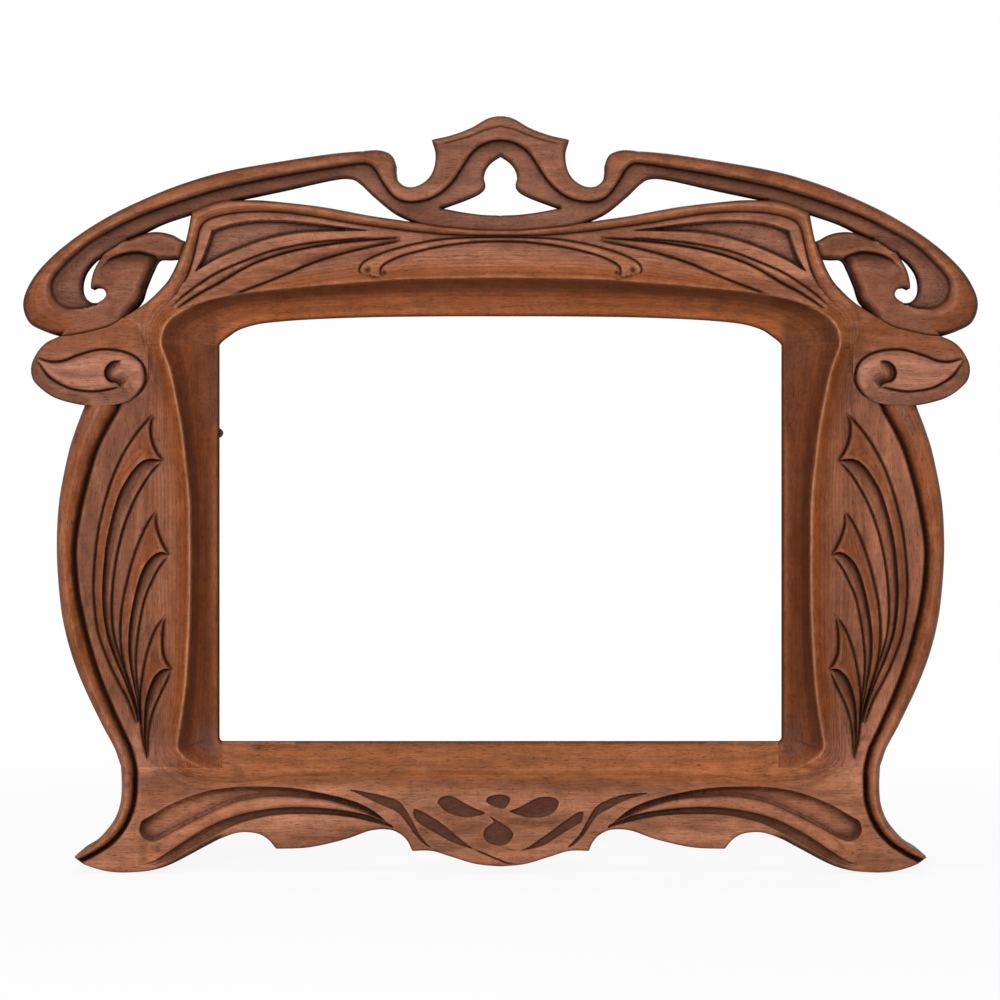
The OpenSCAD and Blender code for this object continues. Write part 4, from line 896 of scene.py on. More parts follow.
def board_points(loops, cuts, pitch=PITCH):
    """Plan points and fixed edges: outline loops, rows along the cuts, and a grid between them."""
    points, edges = [], []
    count = 0
    for loop in loops:
        n = len(loop)
        points.append(loop)
        edges += [(count + i, count + (i + 1) % n) for i in range(n)]
        count += n
    rim = [joined(loop, loop[:1]) for loop in loops]

    def depth_in(p):
        gap = np.min([near(p, line, 3)[0] for line in rim], axis=0)
        return np.where(within(p, loops), gap, -1)

    for line, width, _ in cuts:
        for offset in (0, width / 2, -width / 2):
            row = beside(line, offset)
            row = row[::2] if offset else row
            ok = depth_in(row) > 0.45
            for i, good in enumerate(ok):
                if good:
                    if i and ok[i - 1]:
                        edges.append((count - 1, count))
                    points.append(row[i:i + 1])
                    count += 1
    for line in rim:
        for offset in RIM_ROWS:
            for sign in (1, -1):
                row = beside(line, sign * offset)
                row = row[depth_in(row) > offset * 0.85]
                points.append(row)
                count += len(row)
    fixed = np.vstack(points)
    low, high = fixed.min(0), fixed.max(0)
    cell = 0.45 * pitch
    taken = np.zeros(((high - low) / cell).astype(int) + 5, bool)
    dense = [fixed] + [(fixed[[a for a, _ in edges]] + fixed[[b for _, b in edges]]) / 2]
    spots = ((np.vstack(dense) - low) / cell).astype(int) + 2
    for dx in (-1, 0, 1):
        for dy in (-1, 0, 1):
            taken[spots[:, 0] + dx, spots[:, 1] + dy] = True
    rows = np.arange(low[1], high[1], pitch * ROW_RISE)
    grid = np.array([(x, y) for i, y in enumerate(rows)
                     for x in np.arange(low[0] + (i % 2) * pitch / 2, high[0], pitch)])
    spots = ((grid - low) / cell).astype(int) + 2
    grid = grid[~taken[spots[:, 0], spots[:, 1]]]
    return np.vstack([fixed, grid[within(grid, loops)]]), edges


def triangles(points, edges, loops):
    """Triangles over the points that keep the fixed edges and lie within the outline."""
    result = geometry.delaunay_2d_cdt([Vector(p) for p in points], edges, [], 0, 1e-5, False)
    plan = np.array([(v.x, v.y) for v in result[0]])
    faces = np.array([f for f in result[2] if len(f) == 3])
    faces = faces[within(plan[faces].mean(1), loops)]
    a, b, c = plan[faces[:, 0]], plan[faces[:, 1]], plan[faces[:, 2]]
    area = (b - a)[:, 0] * (c - a)[:, 1] - (b - a)[:, 1] * (c - a)[:, 0]
    faces[area < 0] = faces[area < 0][:, ::-1]
    return plan, faces[np.abs(area) > 1e-9]


def rim_edges(faces):
    """Edges used by one face only, in that face's direction."""
    runs = np.vstack([faces[:, [0, 1]], faces[:, [1, 2]], faces[:, [2, 0]]])
    have = set(map(tuple, runs.tolist()))
    return [(a, b) for a, b in runs.tolist() if (b, a) not in have]


# %% [markdown]
# ## From points to a finished board
# Two more things are measured from the heights themselves: how far a point lies below the wood around
# it, where old wax and dust collect and painted shade darkens it, and how far it stands above, where
# hands rub it light and a painted highlight lies. Both go with the mesh as attributes, so the finish and
# the painted light follow the carving from every side. A little unevenness from the gouge is added
# before that.

# %% Rebate, unevenness and averages
REBATE = (-200.5, 84.5, 200.5, 387.5)
REBATE_DEPTH = 12.0


def in_rebate(plan):
    x0, y0, x1, y1 = REBATE
    return (plan[:, 0] > x0) & (plan[:, 0] < x1) & (plan[:, 1] > y0) & (plan[:, 1] < y1)


def with_crossings(loop):
    """Outline with extra points where it passes over the edges of the rebate."""
    x0, y0, x1, y1 = REBATE
    out = []
    for a, b in zip(loop, np.roll(loop, -1, 0)):
        spots = [(0.0, a)]
        for axis, value in ((0, x0), (0, x1), (1, y0), (1, y1)):
            if (a[axis] - value) * (b[axis] - value) < 0:
                t = (value - a[axis]) / (b[axis] - a[axis])
                spot = a + (b - a) * t
                spot[axis] = value
                if x0 - 0.01 < spot[0] < x1 + 0.01 and y0 - 0.01 < spot[1] < y1 + 0.01:
                    spots.append((t, spot))
        out += [spot for _, spot in sorted(spots, key=lambda item: item[0])]
    return np.array(out)


def uneven(plan, size, seed):
    """Smooth random unevenness between -1 and 1."""
    return np.array([noise.noise((x / size, y / size, seed)) for x, y in plan])


def nudged(plan, faces, ring, amount=0.08):
    """Points with those of the rim moved a little inwards, so that they are measured as wood."""
    a = faces[:, [0, 1, 2]].ravel()
    b = faces[:, [1, 2, 0]].ravel()
    n = len(plan)
    pull = np.column_stack([np.bincount(a, plan[b, k] - plan[a, k], n)
                            + np.bincount(b, plan[a, k] - plan[b, k], n) for k in (0, 1)])
    out = plan.copy()
    pull = pull[ring]
    out[ring] += amount * pull / np.maximum(np.hypot(*pull.T), 1e-9)[:, None]
    return out


def spread_out(values, faces, rounds):
    """Values averaged over neighbours again and again."""
    a = faces[:, [0, 1, 2]].ravel()
    b = faces[:, [1, 2, 0]].ravel()
    n = len(values)
    count = np.bincount(a, minlength=n) + np.bincount(b, minlength=n)
    for _ in range(rounds):
        total = np.bincount(a, values[b], n) + np.bincount(b, values[a], n)
        values = 0.4 * values + 0.6 * total / np.maximum(count, 1)
    return values


# %% [markdown]
# ## Hollows near a joint
# At the edge of a board an average knows one side only, so a hollow measured there comes out wrong.
# Close to a joint a point therefore takes the milder of its own value and the one measured a little
# further in, and the wax and painted shade do not stop at the joint.

# %% Hollows and steepness
JOINT_REACH = 2.4
BANK = 1.6
FAR = 99
CLOSE_ROUNDS, BROAD_ROUNDS = 8, 70


def lookup(points, keys):
    """Search tree over plan points that answers with their keys."""
    tree = kdtree.KDTree(max(1, len(points)))
    for (x, y), key in zip(points, keys):
        tree.insert((x, y, 0), int(key))
    tree.balance()
    return tree


def hollows(plan, tris, height, ring, free_edges):
    """How far each point lies below the wood close by, and below the wood in a wider round."""
    close = spread_out(height, tris, CLOSE_ROUNDS) - height
    broad = spread_out(height, tris, BROAD_ROUNDS) - height
    rim_plan = plan[ring]
    free = np.min([near(rim_plan, line, 2)[0] for line, _ in free_edges], axis=0) < 0.4
    seams = lookup(rim_plan[~free], range(len(rim_plan)))
    gap = np.array([seams.find((x, y, 0))[2] or FAR for x, y in plan])
    bank = np.flatnonzero((gap >= JOINT_REACH) & (gap < JOINT_REACH + BANK))
    inner = lookup(plan[bank], bank)
    for i in np.flatnonzero(gap < JOINT_REACH) if len(bank) else ():
        source = inner.find((plan[i][0], plan[i][1], 0))[1]
        close[i] = min(close[i], close[source], key=abs)
        broad[i] = min(broad[i], broad[source], key=abs)
    return close, broad


def steepness(plan, height, faces):
    """0 where the wood faces the viewer, growing to 1 where it turns away."""
    spot = np.column_stack([plan, height])
    a, b, c = spot[faces[:, 0]], spot[faces[:, 1]], spot[faces[:, 2]]
    across = np.cross(b - a, c - a)
    total = np.zeros_like(spot)
    for k in range(3):
        for axis in range(3):
            total[:, axis] += np.bincount(faces[:, k], across[:, axis], len(spot))
    upright = total[:, 2] / np.maximum(np.linalg.norm(total, axis=1), 1e-9)
    return np.clip((0.95 - upright) / 0.45, 0, 1)


# %% [markdown]
# ## Back of a board
# The back needs few points, but its rim has to be the front's rim, point for point, so that the sawn
# wall between the two closes. The edges of the rebate are fixed lines in this plan, and every back
# point that lies on one is made twice: once at the back and once down in the rebate.

# %% Back and walls
REBATE_STEP = 6.0
BACK_STEP = 12


def on_rebate_edge(p):
    x0, y0, x1, y1 = REBATE
    return (any(abs(p[a] - v) < 1e-4 for a, v in ((0, x0), (0, x1), (1, y0), (1, y1)))
            and x0 - 0.01 < p[0] < x1 + 0.01 and y0 - 0.01 < p[1] < y1 + 0.01)


def back_plan(base, rim, loops, rebated):
    """Points and triangles of the back over a given rim."""
    points, fixed = [base], list(rim)
    if rebated:
        x0, y0, x1, y1 = REBATE
        line = spread(np.array([(x0, y0), (x1, y0), (x1, y1), (x0, y1)]), REBATE_STEP)
        line = line[within(line, loops)]
        around = [(p, i) for i, p in enumerate(base) if on_rebate_edge(p)]
        around += [(p, len(base) + k) for k, p in enumerate(line)]
        centre = np.array([(x0 + x1) / 2, (y0 + y1) / 2])
        around.sort(key=lambda item: math.atan2(item[0][1] - centre[1], item[0][0] - centre[0]))
        points.append(line)
        for (p, i), (q, j) in zip(around, around[1:] + around[:1]):
            straight = abs(p[0] - q[0]) < 1e-4 or abs(p[1] - q[1]) < 1e-4
            if straight and within(((p + q) / 2)[None], loops)[0]:
                fixed.append((i, j))
    low, high = base.min(0) + BACK_STEP / 2, base.max(0)
    sparse = np.array([(x, y) for x in np.arange(low[0], high[0], BACK_STEP)
                       for y in np.arange(low[1], high[1], BACK_STEP)])
    sparse = sparse[within(sparse, loops)]
    points.append(sparse[near(sparse, joined(base, base[:1]), 4)[0] > 2] if len(sparse) else sparse)
    return triangles(np.vstack(points), fixed, loops)


def back_and_walls(plan, rim, back, tris, rebated):
    """Back points with their heights, and the faces of back, rebate walls and sawn walls."""
    keys = {tuple(np.round(p, 4)): i for i, p in enumerate(back)}
    level = in_rebate(back[tris].mean(1)) if rebated else np.zeros(len(tris), bool)
    made, extra, faces, edge_level = {}, [], [], {}

    def vertex(i, sunk_in):
        key = (int(i), bool(sunk_in))
        if key not in made:
            made[key] = len(plan) + len(extra)
            extra.append((*back[i], REBATE_DEPTH if sunk_in else 0.0))
        return made[key]

    for tri, deep in zip(tris, level):
        faces.append([vertex(i, deep) for i in tri[::-1]])
        for a, b in ((tri[0], tri[1]), (tri[1], tri[2]), (tri[2], tri[0])):
            edge_level[(int(a), int(b))] = bool(deep)
    for (a, b), deep in edge_level.items():
        if deep and edge_level.get((b, a)) is False:
            faces.append([vertex(b, False), vertex(a, False), vertex(a, True), vertex(b, True)])
    for a, b in rim:
        i, j = keys[tuple(np.round(plan[a], 4))], keys[tuple(np.round(plan[b], 4))]
        deep = edge_level[(i, j)]
        wall = [b, a]
        if not deep and (i, True) in made:
            wall.append(made[(i, True)])
        wall += [vertex(i, deep), vertex(j, deep)]
        if not deep and (j, True) in made:
            wall.append(made[(j, True)])
        faces.append(wall)
    return np.array(extra), faces


# %% [markdown]
# ## Board builder
# The builder goes through a board in the carver's order: forms, cuts, a little unevenness from the
# gouge, then the broken edges. What it has measured on the way becomes the board's attributes, painted
# shade and highlight among them. Front and back get separate finishes, because only the front was
# waxed.

# %% Board builder
# Finish of sawn edges and backs, where no carver's hand has been
BARE = {"warm": 0.0, "grey": 0.5, "dark": 0.3, "floor": 0.0, "wax": 0.1, "rub": 0.0, "pale": 0.0,
        "crisp": 0.0}
SHARP_ANGLE = math.radians(48)
SEED_OFFSET = 7.3
EDGE_SHADE = 2.2


def board_mesh(name, spots, polygons, finish, finishes, front_faces, sawn_from):
    """Mesh with the finish as attributes; faces from front_faces on take the second material."""
    mesh = bpy.data.meshes.new(name)
    mesh.from_pydata(spots.tolist(), [], polygons)
    for key, values in finish.items():
        rest = np.full(len(spots) - len(values), BARE[key])
        layer = mesh.attributes.new(key, "FLOAT", "POINT")
        layer.data.foreach_set("value", np.concatenate([values, rest]).astype(np.float32))
    order = np.arange(len(polygons))
    # Sawn side walls and rebate walls get painted shade through this face attribute
    sawn = mesh.attributes.new("sawn", "FLOAT", "FACE")
    sawn.data.foreach_set("value", (order >= sawn_from).astype(np.float32))
    for material in finishes:
        mesh.materials.append(material)
    mesh.polygons.foreach_set("material_index", (order >= front_faces).astype(np.int32))
    mesh.shade_smooth()
    mesh.set_sharp_from_angle(angle=SHARP_ANGLE)
    return mesh


def carve(name, finishes, loops, cuts, face, free_edges, rebated=True, seed=0.0, pitch=PITCH):
    """Closed mesh of one board: waxed carved front, and raw sawn edges and flat back."""
    loops = [spread(np.asarray(loop)[:, :2]) for loop in loops]
    if rebated:
        loops = [with_crossings(loop) for loop in loops]
    plan, tris = triangles(*board_points(loops, cuts, pitch), loops)
    rim = rim_edges(tris)
    ring = sorted({v for edge in rim for v in edge})
    height, finish = face(nudged(plan, tris, ring))
    both_banks(face, plan, height, finish, cuts)
    # Darkening along the cuts: old wax and painted shade
    cut_wax_and_shade = np.zeros(len(plan))
    for line, width, depth in cuts:
        if depth:
            height, wax = cut(plan, height, line, width, depth)
            cut_wax_and_shade = np.maximum(cut_wax_and_shade, wax)
    height += 0.10 * uneven(plan, 13.0, seed) + 0.05 * uneven(plan, 4.0, seed + SEED_OFFSET)
    close, broad = hollows(plan, tris, height, ring, free_edges)
    # Broken edges are rounded off, and painted shade darkens the wood along them
    painted_edge_shade = np.zeros(len(plan))
    for line, radius in free_edges:
        back = np.clip(radius - near(plan, line, radius + 1)[0], 0, radius)
        height -= radius - np.sqrt(np.maximum(radius**2 - back**2, 0))
        painted_edge_shade = np.maximum(painted_edge_shade, 1 - ease(near(plan, line, 4)[0] / EDGE_SHADE))
    steep = spread_out(steepness(plan, height, tris), tris, 2)

    plain = 1 - finish["floor"]
    # Old wax and painted shade in the cuts, in small hollows and along the broken edges
    finish["wax"] = np.maximum(cut_wax_and_shade, np.clip(close / 0.8, 0, 1)) * plain + 0.5 * painted_edge_shade
    # Crests lighter: rubbed wood and painted highlight
    finish["rub"] = np.clip(-close / 0.45, 0, 1) * plain
    # Painted shade in broad hollows and where the wood turns away from the viewer
    finish["dark"] = np.clip(finish["dark"] + (np.clip(broad / 3, 0, 0.5) + 0.4 * steep) * plain, 0, 1)
    place = {v: i for i, v in enumerate(ring)}
    back, back_tris = back_plan(plan[ring], [(place[a], place[b]) for a, b in rim], loops, rebated)
    extra, more = back_and_walls(plan, rim, back, back_tris, rebated)
    spots = np.vstack([stood_up(*plan.T, height), stood_up(*extra.T)])
    board = placed(name, board_mesh(name, spots, tris.tolist() + more, finish, finishes, len(tris),
                                    len(tris) + len(back_tris)))
    print(name, len(spots), "points,", len(tris) + len(more), "faces")
    return board


# %% [markdown]
# ## Walnut
# Old walnut under wax is a reddish brown with darker figure, fine fibres and short dark pores that run
# with the grain. The grain runs along each board, so the stiles get it upright and the rails across.
# The colour then follows the carving through the board's attributes: dark wax and painted shade in the
# cuts, rubbed crests with a painted highlight, warm polished mouldings, greyer grounds that are partly a
# painted sheen, and painted shade where the wood turns away or lies low.

# %% Walnut colours
WOOD = {
    "figure": (0.110, 0.034, 0.016, 1),
    "polished": (0.225, 0.050, 0.005, 1),
    # Grey ground, partly a painted sheen
    "ground_and_sheen": (0.235, 0.105, 0.070, 1),
    "shade": (0.060, 0.016, 0.006, 1),
    "floor": (0.104, 0.038, 0.022, 1),
    # Rubbed wood and painted highlight
    "rubbed_and_highlight": (0.47, 0.20, 0.105, 1),
    # Pale colour, also used for painted sheen and highlight
    "pale": (0.47, 0.205, 0.145, 1),
    # Painted shade of the sawn walls
    "sawn": (0.040, 0.015, 0.008, 1),
    # Old wax and painted shade
    "wax": (0.016, 0.006, 0.004, 1),
    "pore": (0.040, 0.013, 0.007, 1),
}
STILE_PLAIN = (0.350, 0.122, 0.058, 1)
RAIL_PLAIN = (0.445, 0.172, 0.092, 1)
LOW_PLAIN = (0.500, 0.205, 0.110, 1)
CREST_PLAIN = (0.275, 0.112, 0.066, 1)


def maths(tree, operation, a, b, **kind):
    return add(tree, "ShaderNodeMath", {0: a, 1: b}, operation=operation, **kind).outputs[0]


def mix(tree, factor, a, b, blend="MIX"):
    node = tree.nodes.new("ShaderNodeMix")
    node.data_type = "RGBA"
    node.blend_type = blend
    for key, value in ((0, factor), (6, a), (7, b)):
        if isinstance(value, bpy.types.NodeSocket):
            tree.links.new(value, node.inputs[key])
        else:
            node.inputs[key].default_value = value
    return node.outputs[2]


def cloudy(tree, vector, scale, detail, rough=0.5):
    """Noise between 0 and 1."""
    return add(tree, "ShaderNodeTexNoise", {"Vector": vector, "Scale": scale, "Detail": detail,
                                            "Roughness": rough}).outputs["Fac"]


def stretch(tree, value, low, high, to_low=0.0, to_high=1.0):
    node = add(tree, "ShaderNodeMapRange", {"Value": value, "From Min": low, "From Max": high,
                                            "To Min": to_low, "To Max": to_high})
    return node.outputs[0]


# %% [markdown]
# ## Patterns of the wood
# Wood is one noise seen again and again at other scales, always drawn out along the grain: cathedral
# figure, broad bands, fibres, pores, and a faint curl across. Only the clouds and specks of the old
# surface are the same in every direction.


# %% Patterns of the wood
def wood_patterns(tree, upright, seed):
    where = add(tree, "ShaderNodeTexCoord").outputs["Object"]

    def drawn_out(along, across, thick=None, shift=(0, 0, 0)):
        """Coordinates scaled one way along the grain and another way across it."""
        thick = thick or across
        scale = (across, thick, along) if upright else (along, thick, across)
        return add(tree, "ShaderNodeMapping", {"Vector": where, "Location": shift,
                                               "Scale": scale}).outputs[0]

    grain = drawn_out(1.0, 9.0, shift=(seed, seed * 0.7, seed * 0.4))
    bend = add(tree, "ShaderNodeTexNoise", {"Vector": grain, "Scale": 2.2,
                                            "Detail": 2.0}).outputs["Color"]
    ring = add(tree, "ShaderNodeTexWave", {
        "Vector": drawn_out(3, 14, thick=260, shift=(seed, seed, seed)), "Scale": 1.0,
        "Distortion": 3.0, "Detail": 2.0, "Detail Scale": 1.2}, wave_type="BANDS", bands_direction="Y")
    return {
        "figure": cloudy(tree, mix(tree, 0.10, grain, bend, "LINEAR_LIGHT"), 7.0, 5.0, 0.62),
        "fibre": cloudy(tree, drawn_out(0.035, 1), 1500.0, 2.0),
        "pore": stretch(tree, cloudy(tree, drawn_out(0.11, 1), 1900.0, 1.0), 0.62, 0.72),
        "cloud": cloudy(tree, where, 26.0, 3.0),
        "mottle": cloudy(tree, drawn_out(0.4, 1), 170.0, 4.0, 0.65),
        "speck": cloudy(tree, where, 620.0, 3.0),
        "bands": cloudy(tree, drawn_out(2.5, 60, shift=(seed, seed, seed)), 1.0, 3.0, 0.6),
        "curl": cloudy(tree, drawn_out(330, 30), 1.0, 2.0),
        "ring": ring.outputs["Fac"],
    }


# %% [markdown]
# ## Walnut material
# The colours are laid one over the other like coats: polish, grey ground that is partly a painted sheen,
# pale painted sheen, figure, rubbed crests with a painted highlight, painted shade, a painted highlight
# line along the ridge, dark drop floors, pores. The attributes say where each coat lies, the patterns
# break it up. Old wax with painted shade, and painted shade on the sawn walls, come last. The raw
# version has no gloss at all.


# %% Walnut material
def walnut(name, plain, polished=WOOD["polished"], upright=False, seed=0.0, gloss=0.06):
    material, tree = new_material(name)
    wood = wood_patterns(tree, upright, seed)

    def attribute(key):
        return add(tree, "ShaderNodeAttribute", attribute_name=key).outputs["Fac"]

    def pattern(key, low, high, to_low=0.0, to_high=1.0):
        return stretch(tree, wood[key], low, high, to_low, to_high)

    def times(a, b, **kind):
        return maths(tree, "MULTIPLY", a, b, **kind)

    warm = times(attribute("warm"), pattern("cloud", 0.25, 0.75, 0.78, 1))
    grey = attribute("grey")
    coats = [
        (warm, polished),
        # Grey ground, partly a painted sheen and painted reflection
        (times(grey, pattern("cloud", 0.3, 0.7, 0.6, 1.1), use_clamp=True), WOOD["ground_and_sheen"]),
        # Pale coat: painted sheen and highlight, and the paler places
        (attribute("pale"), WOOD["pale"]),
        (pattern("fibre", 0.35, 0.72, 0, 0.28 if upright else 0.42), WOOD["figure"]),
        (pattern("ring", 0.55, 0.95, 0, 0.35), WOOD["figure"]),
        # Rubbed crests with painted highlight
        (times(attribute("rub"), pattern("mottle", 0.3, 0.7, 0.12, 0.42)), WOOD["rubbed_and_highlight"]),
        (times(attribute("dark"), 0.85), WOOD["shade"]),
        # Painted highlight line along the ridge
        (times(attribute("crisp"), 0.75), WOOD["rubbed_and_highlight"]),
        (attribute("floor"), WOOD["floor"]),
        (times(wood["pore"], 0.6), WOOD["pore"]),
        (times(pattern("speck", 0.52, 0.66), stretch(tree, grey, 0, 1, 0.12, 0.5)), WOOD["pore"]),
    ]
    colour = mix(tree, pattern("figure", 0.40, 0.72, 0, 0.8), plain, WOOD["figure"])
    for share, coat in coats:
        colour = mix(tree, share, colour, coat)
    blotch = times(pattern("mottle", 0.3, 0.7, 0.78, 1.18), pattern("bands", 0.3, 0.7, 0.80, 1.20))
    blotch = times(blotch, pattern("curl", 0.3, 0.7, 0.96, 1.04))
    for tone in (blotch, pattern("speck", 0.3, 0.7, 0.86, 1.12)):
        colour = add(tree, "ShaderNodeVectorMath", {0: colour, "Scale": tone},
                     operation="SCALE").outputs[0]
    # Old wax and painted shade in cuts and hollows
    wax_shade_share = times(attribute("wax"), pattern("speck", 0.3, 0.7, 0.7, 1.1), use_clamp=True)
    colour = mix(tree, wax_shade_share, colour, WOOD["wax"])
    # Painted shade on the sawn walls
    colour = mix(tree, times(attribute("sawn"), 0.8), colour, WOOD["sawn"])

    rough = maths(tree, "SUBTRACT", pattern("cloud", 0.3, 0.7, 0.44, 0.58),
                  stretch(tree, warm, 0, 1, 0, 0.08))
    relief = maths(tree, "SUBTRACT", pattern("fibre", 0.2, 0.8, 0, 0.5), wood["pore"])
    relief = maths(tree, "ADD", relief, wood["speck"])
    bump = add(tree, "ShaderNodeBump", {"Height": relief, "Distance": 0.00022, "Strength": 0.6})
    skin = add(tree, "ShaderNodeBsdfPrincipled", {
        "Base Color": colour, "Roughness": rough, "Normal": bump.outputs[0],
        "Specular IOR Level": gloss})
    add(tree, "ShaderNodeOutputMaterial", {0: skin.outputs[0]})
    return material


def waxed_and_raw(name, plain, **look):
    return [walnut(name, plain, **look), walnut(name + "_raw", plain, gloss=0.0, **look)]


walnut_across = waxed_and_raw("walnut_across", RAIL_PLAIN, polished=(0.275, 0.072, 0.012, 1), seed=0.0)
walnut_low = waxed_and_raw("walnut_low", LOW_PLAIN, polished=(0.340, 0.105, 0.030, 1), seed=3.1)
walnut_left = waxed_and_raw("walnut_left", STILE_PLAIN, upright=True, seed=1.7)
walnut_right = waxed_and_raw("walnut_right", STILE_PLAIN, upright=True, seed=5.2)
walnut_crest = waxed_and_raw("walnut_crest", CREST_PLAIN, seed=8.4)
print("wood:", ", ".join(m.name for m in bpy.data.materials if m.name.startswith("walnut")))

# %% [markdown]
# ## Stiles
# The two stiles bulge outwards like drawn bows. They are carved from the same lines; the right one is
# the left one seen in a mirror, with its own grain and its own small unevenness, as two pieces of one
# maker's hand would be.


# %% Stiles
def stile_face(plan):
    _, height, finish = ring_face(plan)
    return height, finish


STILE_LOOP = joined(STILE_EDGE, EAR_SCRIBE, [(-243, SPRING_Y), (-HALF_W, SPRING_Y)],
                    curve([(-HALF_W, SPRING_Y), (-HALF_W, 200), (-HALF_W, 93.3)]), FILLET[::-1],
                    [(-191.7, SEAT_Y), (-263, SEAT_Y)])[:-1]


def mirrored_cuts(cuts):
    return [(other_side(line), width, depth) for line, width, depth in cuts]


STILE_CREASES = STILE_CUTS + [(RIDGE, 1.6, 0), *[(leaf["drop"], 0.8, 0) for leaf in LEAVES]]
left_board = carve("left_stile_carved", walnut_left, [STILE_LOOP], STILE_CREASES, stile_face,
                   [(SIGHT, 0.9)], seed=1.0)
right_board = carve("right_stile_carved", walnut_right, [other_side(STILE_LOOP)],
                    mirrored_cuts(STILE_CREASES), stile_face, [(other_side(SIGHT), 0.9)], seed=2.0)
for board, node in ((left_board, "left_stile"), (right_board, "right_stile")):
    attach(board, "frame")
    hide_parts(node)

# %% [markdown]
# ## Top rail
# The top rail carries the round ears, a bead along its shoulders and brow, a sunk panel on each
# shoulder, long flowing cuts, and a flat lens in the middle above the hollow moulding.


# %% Top rail
def rail_face(plan):
    return rail_details(*ring_face(plan))


def both(line):
    """A line of the left half run on over the middle to the right half."""
    return joined(line, other_side(line))


def edges_of(halves, radius):
    """Free edges of both halves, with the radius they are broken to."""
    return [(line, radius) for half in halves for line in (half, other_side(half))]


def both_sides(cuts):
    out = []
    for line, width, depth in cuts:
        if abs(line[-1][0]) < 0.01:
            out.append((both(line), width, depth))
        else:
            out += [(line, width, depth), (other_side(line), width, depth)]
    return out


RAIL_HALF = joined([(-243, SPRING_Y)], EAR_SCRIBE[::-1], EAR_EDGE[::-1], SHOULDER_SEAT, RAIL_SIDE_LOW,
                   SCROLL_TOUCH, RAIL_SIDE_HIGH, PEAK_SEAT, RAIL_BROW, BASE_SEAT)
RAIL_LOOP = joined(both(RAIL_HALF), both(ARCH_SIGHT)[::-1])
RAIL_EDGES = edges_of((EAR_EDGE, RAIL_SIDE_LOW, RAIL_SIDE_HIGH, RAIL_BROW), 1.4)
RAIL_EDGES += [(both(SIGHT[-300:]), 0.9)]
RAIL_CREASES = both_sides(RAIL_CUTS + EAR_CUTS + [(RIDGE[-460:], 1.6, 0),
                                                  (joined(PANEL, PANEL[:1]), 1.6, 0)])
top_board = carve("top_rail_carved", walnut_across, [RAIL_LOOP], RAIL_CREASES, rail_face, RAIL_EDGES,
                  seed=3.0, pitch=0.92)
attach(top_board, "frame")
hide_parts("top_rail")

# %% [markdown]
# ## Bottom rail
# The bottom rail ends in two feet that the outer beads run down to. A long gouged hollow and a vein
# sweep over each foot, and in the middle ribbons cross over sunk drops. The floors of the drops are
# coloured dark.


# %% Bottom rail
def foot_face(plan):
    return apron_details(plan, *ring_face(plan))


FOOT_HALF = joined([(-191.7, SILL_Y), (-191.7, SEAT_Y), (-263, SEAT_Y)], NECK, FOOT, LOBE, APRON)
FOOT_LOOP = joined(FOOT_HALF, other_side(FOOT_HALF))
FOOT_EDGES = edges_of((FOOT, LOBE, APRON), 1.6) + [(both(SIGHT[:170][::-1]), 0.9)]
FOOT_CREASES = both_sides(FOOT_CUTS + [(BEAD_GROOVE, 3.0, 1.2), (FINGER_UP, 1.0, 0),
                                       (RIDGE[:360], 1.6, 0)])
FOOT_CREASES += APRON_CUTS + [(joined(loop, loop[:1]), 0.9, 0) for loop in DROPS.values()]
low_board = carve("bottom_rail_carved", walnut_low, [FOOT_LOOP], FOOT_CREASES, foot_face, FOOT_EDGES,
                  seed=4.0)
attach(low_board, "frame")
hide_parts("bottom_rail")

# %% [markdown]
# ## Crest
# The crest is a pierced board whose raised band runs like a whiplash from the middle over the long
# limbs into a volute at each end. Inside the volute a leaf folds over its own edge.

# %% Lines of the crest
BAND_OUTER = joined(LIMB_TOP[::-1], CREST_NOTCH[::-1], CREST_BROW[::-1])
BAND_INNER = curve([(-277.5, 392.8), (-284, 390.6), (-290, 389.6), (-296.5, 389.6), (-302, 391.2),
                    (-306.3, 394), (-309.3, 398.5), (-310.3, 404), (-309, 410), (-302.5, 418.5),
                    (-287.5, 432.5), (-268, 444.5), (-245.5, 455), (-217.5, 465), (-188, 473.5),
                    (-149.5, 481.5), (-116.5, 487), (-95.5, 490), (-88, 487.3), (-82, 478),
                    (-76, 469.5), (-70, 465), (-62, 463.3), (-53.5, 464.3), (-45, 467.5),
                    (-38, 472.5), (-32, 479), (-26, 488), (-20.5, 496.5), (-14, 502), (-7, 505),
                    (0, 506)])
ROOF = curve([(-45.8, 502.5), (-38, 503.6), (-30.5, 505.5), (-20, 508.7), (-10, 512.8), (0, 515.3)])
SCROLL_FOLD = curve([(-282, 404), (-280.5, 409.5), (-276.8, 416.8), (-269.5, 423.3), (-260.5, 427),
                     (-250.5, 428.3), (-243.5, 427), (-238, 425)])
FOLD_EDGE = SCROLL_FOLD[SCROLL_FOLD[:, 0] > -271]
CREST_CUTS = [(BAND_INNER[BAND_INNER[:, 0] > -262], 1.4, 0.6), (ROOF, 2.0, 0.8), (FOLD_EDGE, 2.0, 1.3)]
EYE_FOOT = np.hypot(*(EYE_HOLE - (-278.5, 394)).T).argmin()
EYE_RIGHT = EYE_HOLE[EYE_FOOT:][::-1]
print("band", round(run_of(BAND_OUTER)[-1]), "mm")

# %% [markdown]
# ## Height of the crest
# The band is round over the limbs and flat in the middle. At the volute it turns back as a leaf, whose
# blade goes under its own folded edge, the thumb. The blade rises again to the band's height along the
# short line where the two meet, so that the turn has no step.

# %% Height of the crest
TURN = np.array([(-304.0, 370.5), (-277.5, 392.8)])
VOLUTE = joined(SHOULDER_SEAT, SCROLL_EDGE, SCROLL_TOUCH, UPPER_GAP,
                curve([(-257, 437.5), (-262, 434.5), (-268, 430.5), (-274.5, 427)]), EYE_RIGHT,
                TURN[::-1])[:-1]
THUMB_EDGES = [SCROLL_FOLD, UPPER_GAP, SCROLL_TOUCH, SCROLL_EDGE[SCROLL_EDGE[:, 0] > -239]]


